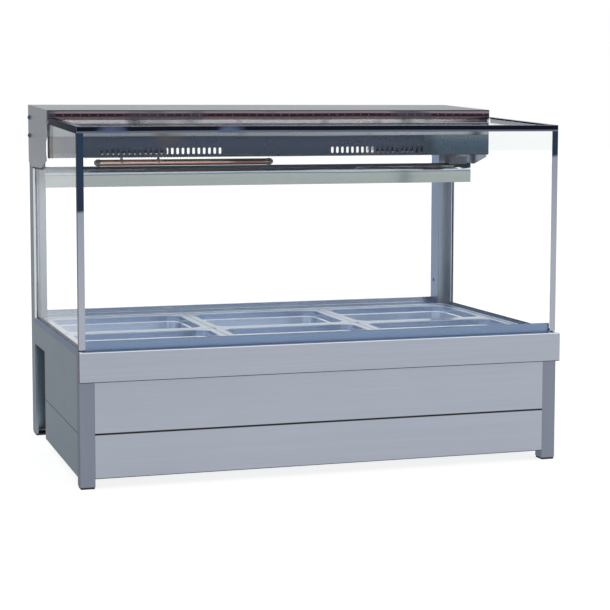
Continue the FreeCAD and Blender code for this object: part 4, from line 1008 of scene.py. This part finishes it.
class CASE_OT_studio(CaseOperator, Operator):
    """Pale floor, soft lamps and the camera"""
    bl_idname = "display_case.studio"
    bl_label = "Studio"

    def execute(self, context):
        scene = context.scene
        scene.view_settings.view_transform = "Standard"
        self.add_floor()
        self.add_world(scene)
        self.add_lamps()
        self.add_camera(scene)
        return {"FINISHED"}

    def add_floor(self):
        """A floor that is near white to the camera and still takes soft shadows."""
        finish = Finish("floor_white")
        ray = finish.node("ShaderNodeLightPath")
        seen = finish.math("MAXIMUM", ray.outputs["Is Camera Ray"], ray.outputs["Is Glossy Ray"])
        seen = finish.math("MAXIMUM", seen, ray.outputs["Is Transmission Ray"])
        paint = finish.node("ShaderNodeBsdfDiffuse")
        finish.feed(paint.inputs["Color"], rgba((FLOOR_GREY,) * 3))
        glow = finish.node("ShaderNodeEmission")
        finish.feed(glow.inputs["Strength"], finish.math("MULTIPLY", seen, FLOOR_GLOW))
        both = finish.node("ShaderNodeAddShader")
        finish.feed(both.inputs[0], paint.outputs["BSDF"])
        finish.feed(both.inputs[1], glow.outputs["Emission"])
        shape = bmesh.new()
        bmesh.ops.create_grid(shape, x_segments=1, y_segments=1, size=FLOOR_REACH)
        floor = new_piece("floor", shape, finish.finish(both.outputs["Shader"]))

    def add_world(self, scene):
        """White light from all round, a little stronger from the right and from above."""
        world = bpy.data.worlds.new("studio_light")
        scene.world = world
        world.use_nodes = True
        tree = world.node_tree
        tree.nodes.clear()

        def node(kind, **settings):
            made = tree.nodes.new(kind)
            for name, value in settings.items():
                setattr(made, name, value)
            return made

        coordinates = node("ShaderNodeTexCoord")
        lean = node("ShaderNodeVectorMath", operation="DOT_PRODUCT")
        lean.inputs[1].default_value = (0.45, 0.10, 0.55)
        tree.links.new(coordinates.outputs["Generated"], lean.inputs[0])
        level = node("ShaderNodeMapRange")
        for name, number in (("From Min", -0.7), ("From Max", 0.7), ("To Min", 0.80),
                             ("To Max", 1.04)):
            level.inputs[name].default_value = number
        tree.links.new(lean.outputs["Value"], level.inputs["Value"])
        ray = node("ShaderNodeLightPath")
        seen = node("ShaderNodeMath", operation="MAXIMUM")
        tree.links.new(ray.outputs["Is Camera Ray"], seen.inputs[0])
        tree.links.new(ray.outputs["Is Transmission Ray"], seen.inputs[1])
        strength = node("ShaderNodeMix", data_type="FLOAT")
        tree.links.new(seen.outputs["Value"], strength.inputs["Factor"])
        tree.links.new(level.outputs["Result"], strength.inputs["A"])
        strength.inputs["B"].default_value = 1.0
        background = node("ShaderNodeBackground")
        background.inputs["Color"].default_value = (1.0, 1.0, 1.0, 1.0)
        tree.links.new(strength.outputs["Result"], background.inputs["Strength"])
        output = node("ShaderNodeOutputWorld")
        tree.links.new(background.outputs["Background"], output.inputs["Surface"])

    def add_lamps(self):
        """Three large soft lamps, aimed at the middle of the case."""
        for name, spot, size, power in (
                ("lamp_key", (2.6, -2.8, 3.2), 2.4, 16.0),
                ("lamp_fill", (-3.0, -2.4, 2.2), 2.6, 5.0),
                ("lamp_back", (0.5, 3.2, 2.8), 2.6, 6.0)):
            light = bpy.data.lights.new(name, "AREA")
            light.energy = power
            light.size = size
            lamp = bpy.data.objects.new(name, light)
            lamp.location = spot
            aim = Vector((0.0, 0.0, 0.35)) - Vector(spot)
            lamp.rotation_mode = "QUATERNION"
            lamp.rotation_quaternion = aim.to_track_quat("-Z", "Y")
            bpy.context.scene.collection.objects.link(lamp)

    def add_camera(self, scene):
        """A camera that is turned by the studio's heading, dip and roll."""
        studio = scene.case_studio
        camera = bpy.data.objects.new("camera", bpy.data.cameras.new("camera"))
        camera.data.lens = studio.lens
        camera.data.sensor_width = 36.0
        camera.data.shift_x, camera.data.shift_y = studio.shift
        camera.data.clip_end = 100.0
        camera.rotation_mode = "QUATERNION"
        turn = (Matrix.Rotation(-studio.heading, 4, "Z")
                @ Matrix.Rotation(math.pi / 2 - studio.dip, 4, "X")
                @ Matrix.Rotation(studio.roll, 4, "Z"))
        camera.location = studio.place
        camera.rotation_quaternion = turn.to_quaternion()
        scene.collection.objects.link(camera)
        scene.camera = camera


PIECE_OPERATORS = (CASE_OT_base, CASE_OT_deck, CASE_OT_pans, CASE_OT_glass, CASE_OT_trims,
                   CASE_OT_canopy, CASE_OT_lamp_housing, CASE_OT_lamps, CASE_OT_controls,
                   CASE_OT_studio)


class CASE_PT_sidebar(Panel):
    bl_label = "Display case"
    bl_idname = "CASE_PT_sidebar"
    bl_space_type = "VIEW_3D"
    bl_region_type = "UI"
    bl_category = "Display Case"

    def draw(self, context):
        for operator in PIECE_OPERATORS:
            self.layout.operator(operator.bl_idname)
        for group in (context.scene.case_finishes, context.scene.case_details,
                      context.scene.case_studio):
            box = self.layout.box()
            for name in group.__annotations__:
                box.prop(group, name)


CLASSES = (CaseFinishes, CaseDetails, StudioSettings, *PIECE_OPERATORS, CASE_PT_sidebar)
SCENE_GROUPS = {"case_finishes": CaseFinishes, "case_details": CaseDetails,
                "case_studio": StudioSettings}


def register():
    for each in CLASSES:
        bpy.utils.register_class(each)
    for name, group in SCENE_GROUPS.items():
        setattr(bpy.types.Scene, name, PointerProperty(type=group))


def unregister():
    for name in SCENE_GROUPS:
        delattr(bpy.types.Scene, name)
    for each in reversed(CLASSES):
        bpy.utils.unregister_class(each)


def measure():
    """Notes the corners of every CAD node's box."""
    for name, item in frame["nodes"].items():
        spots = [item.matrix_world @ Vector(corner) for corner in item.bound_box]
        CAD_BOX[name] = (Vector(map(min, zip(*spots))), Vector(map(max, zip(*spots))))


def main():
    register()
    measure()
    for operator in PIECE_OPERATORS:
        family, name = operator.bl_idname.split(".")
        getattr(getattr(bpy.ops, family), name)()


if __name__ == "__main__":
    main()
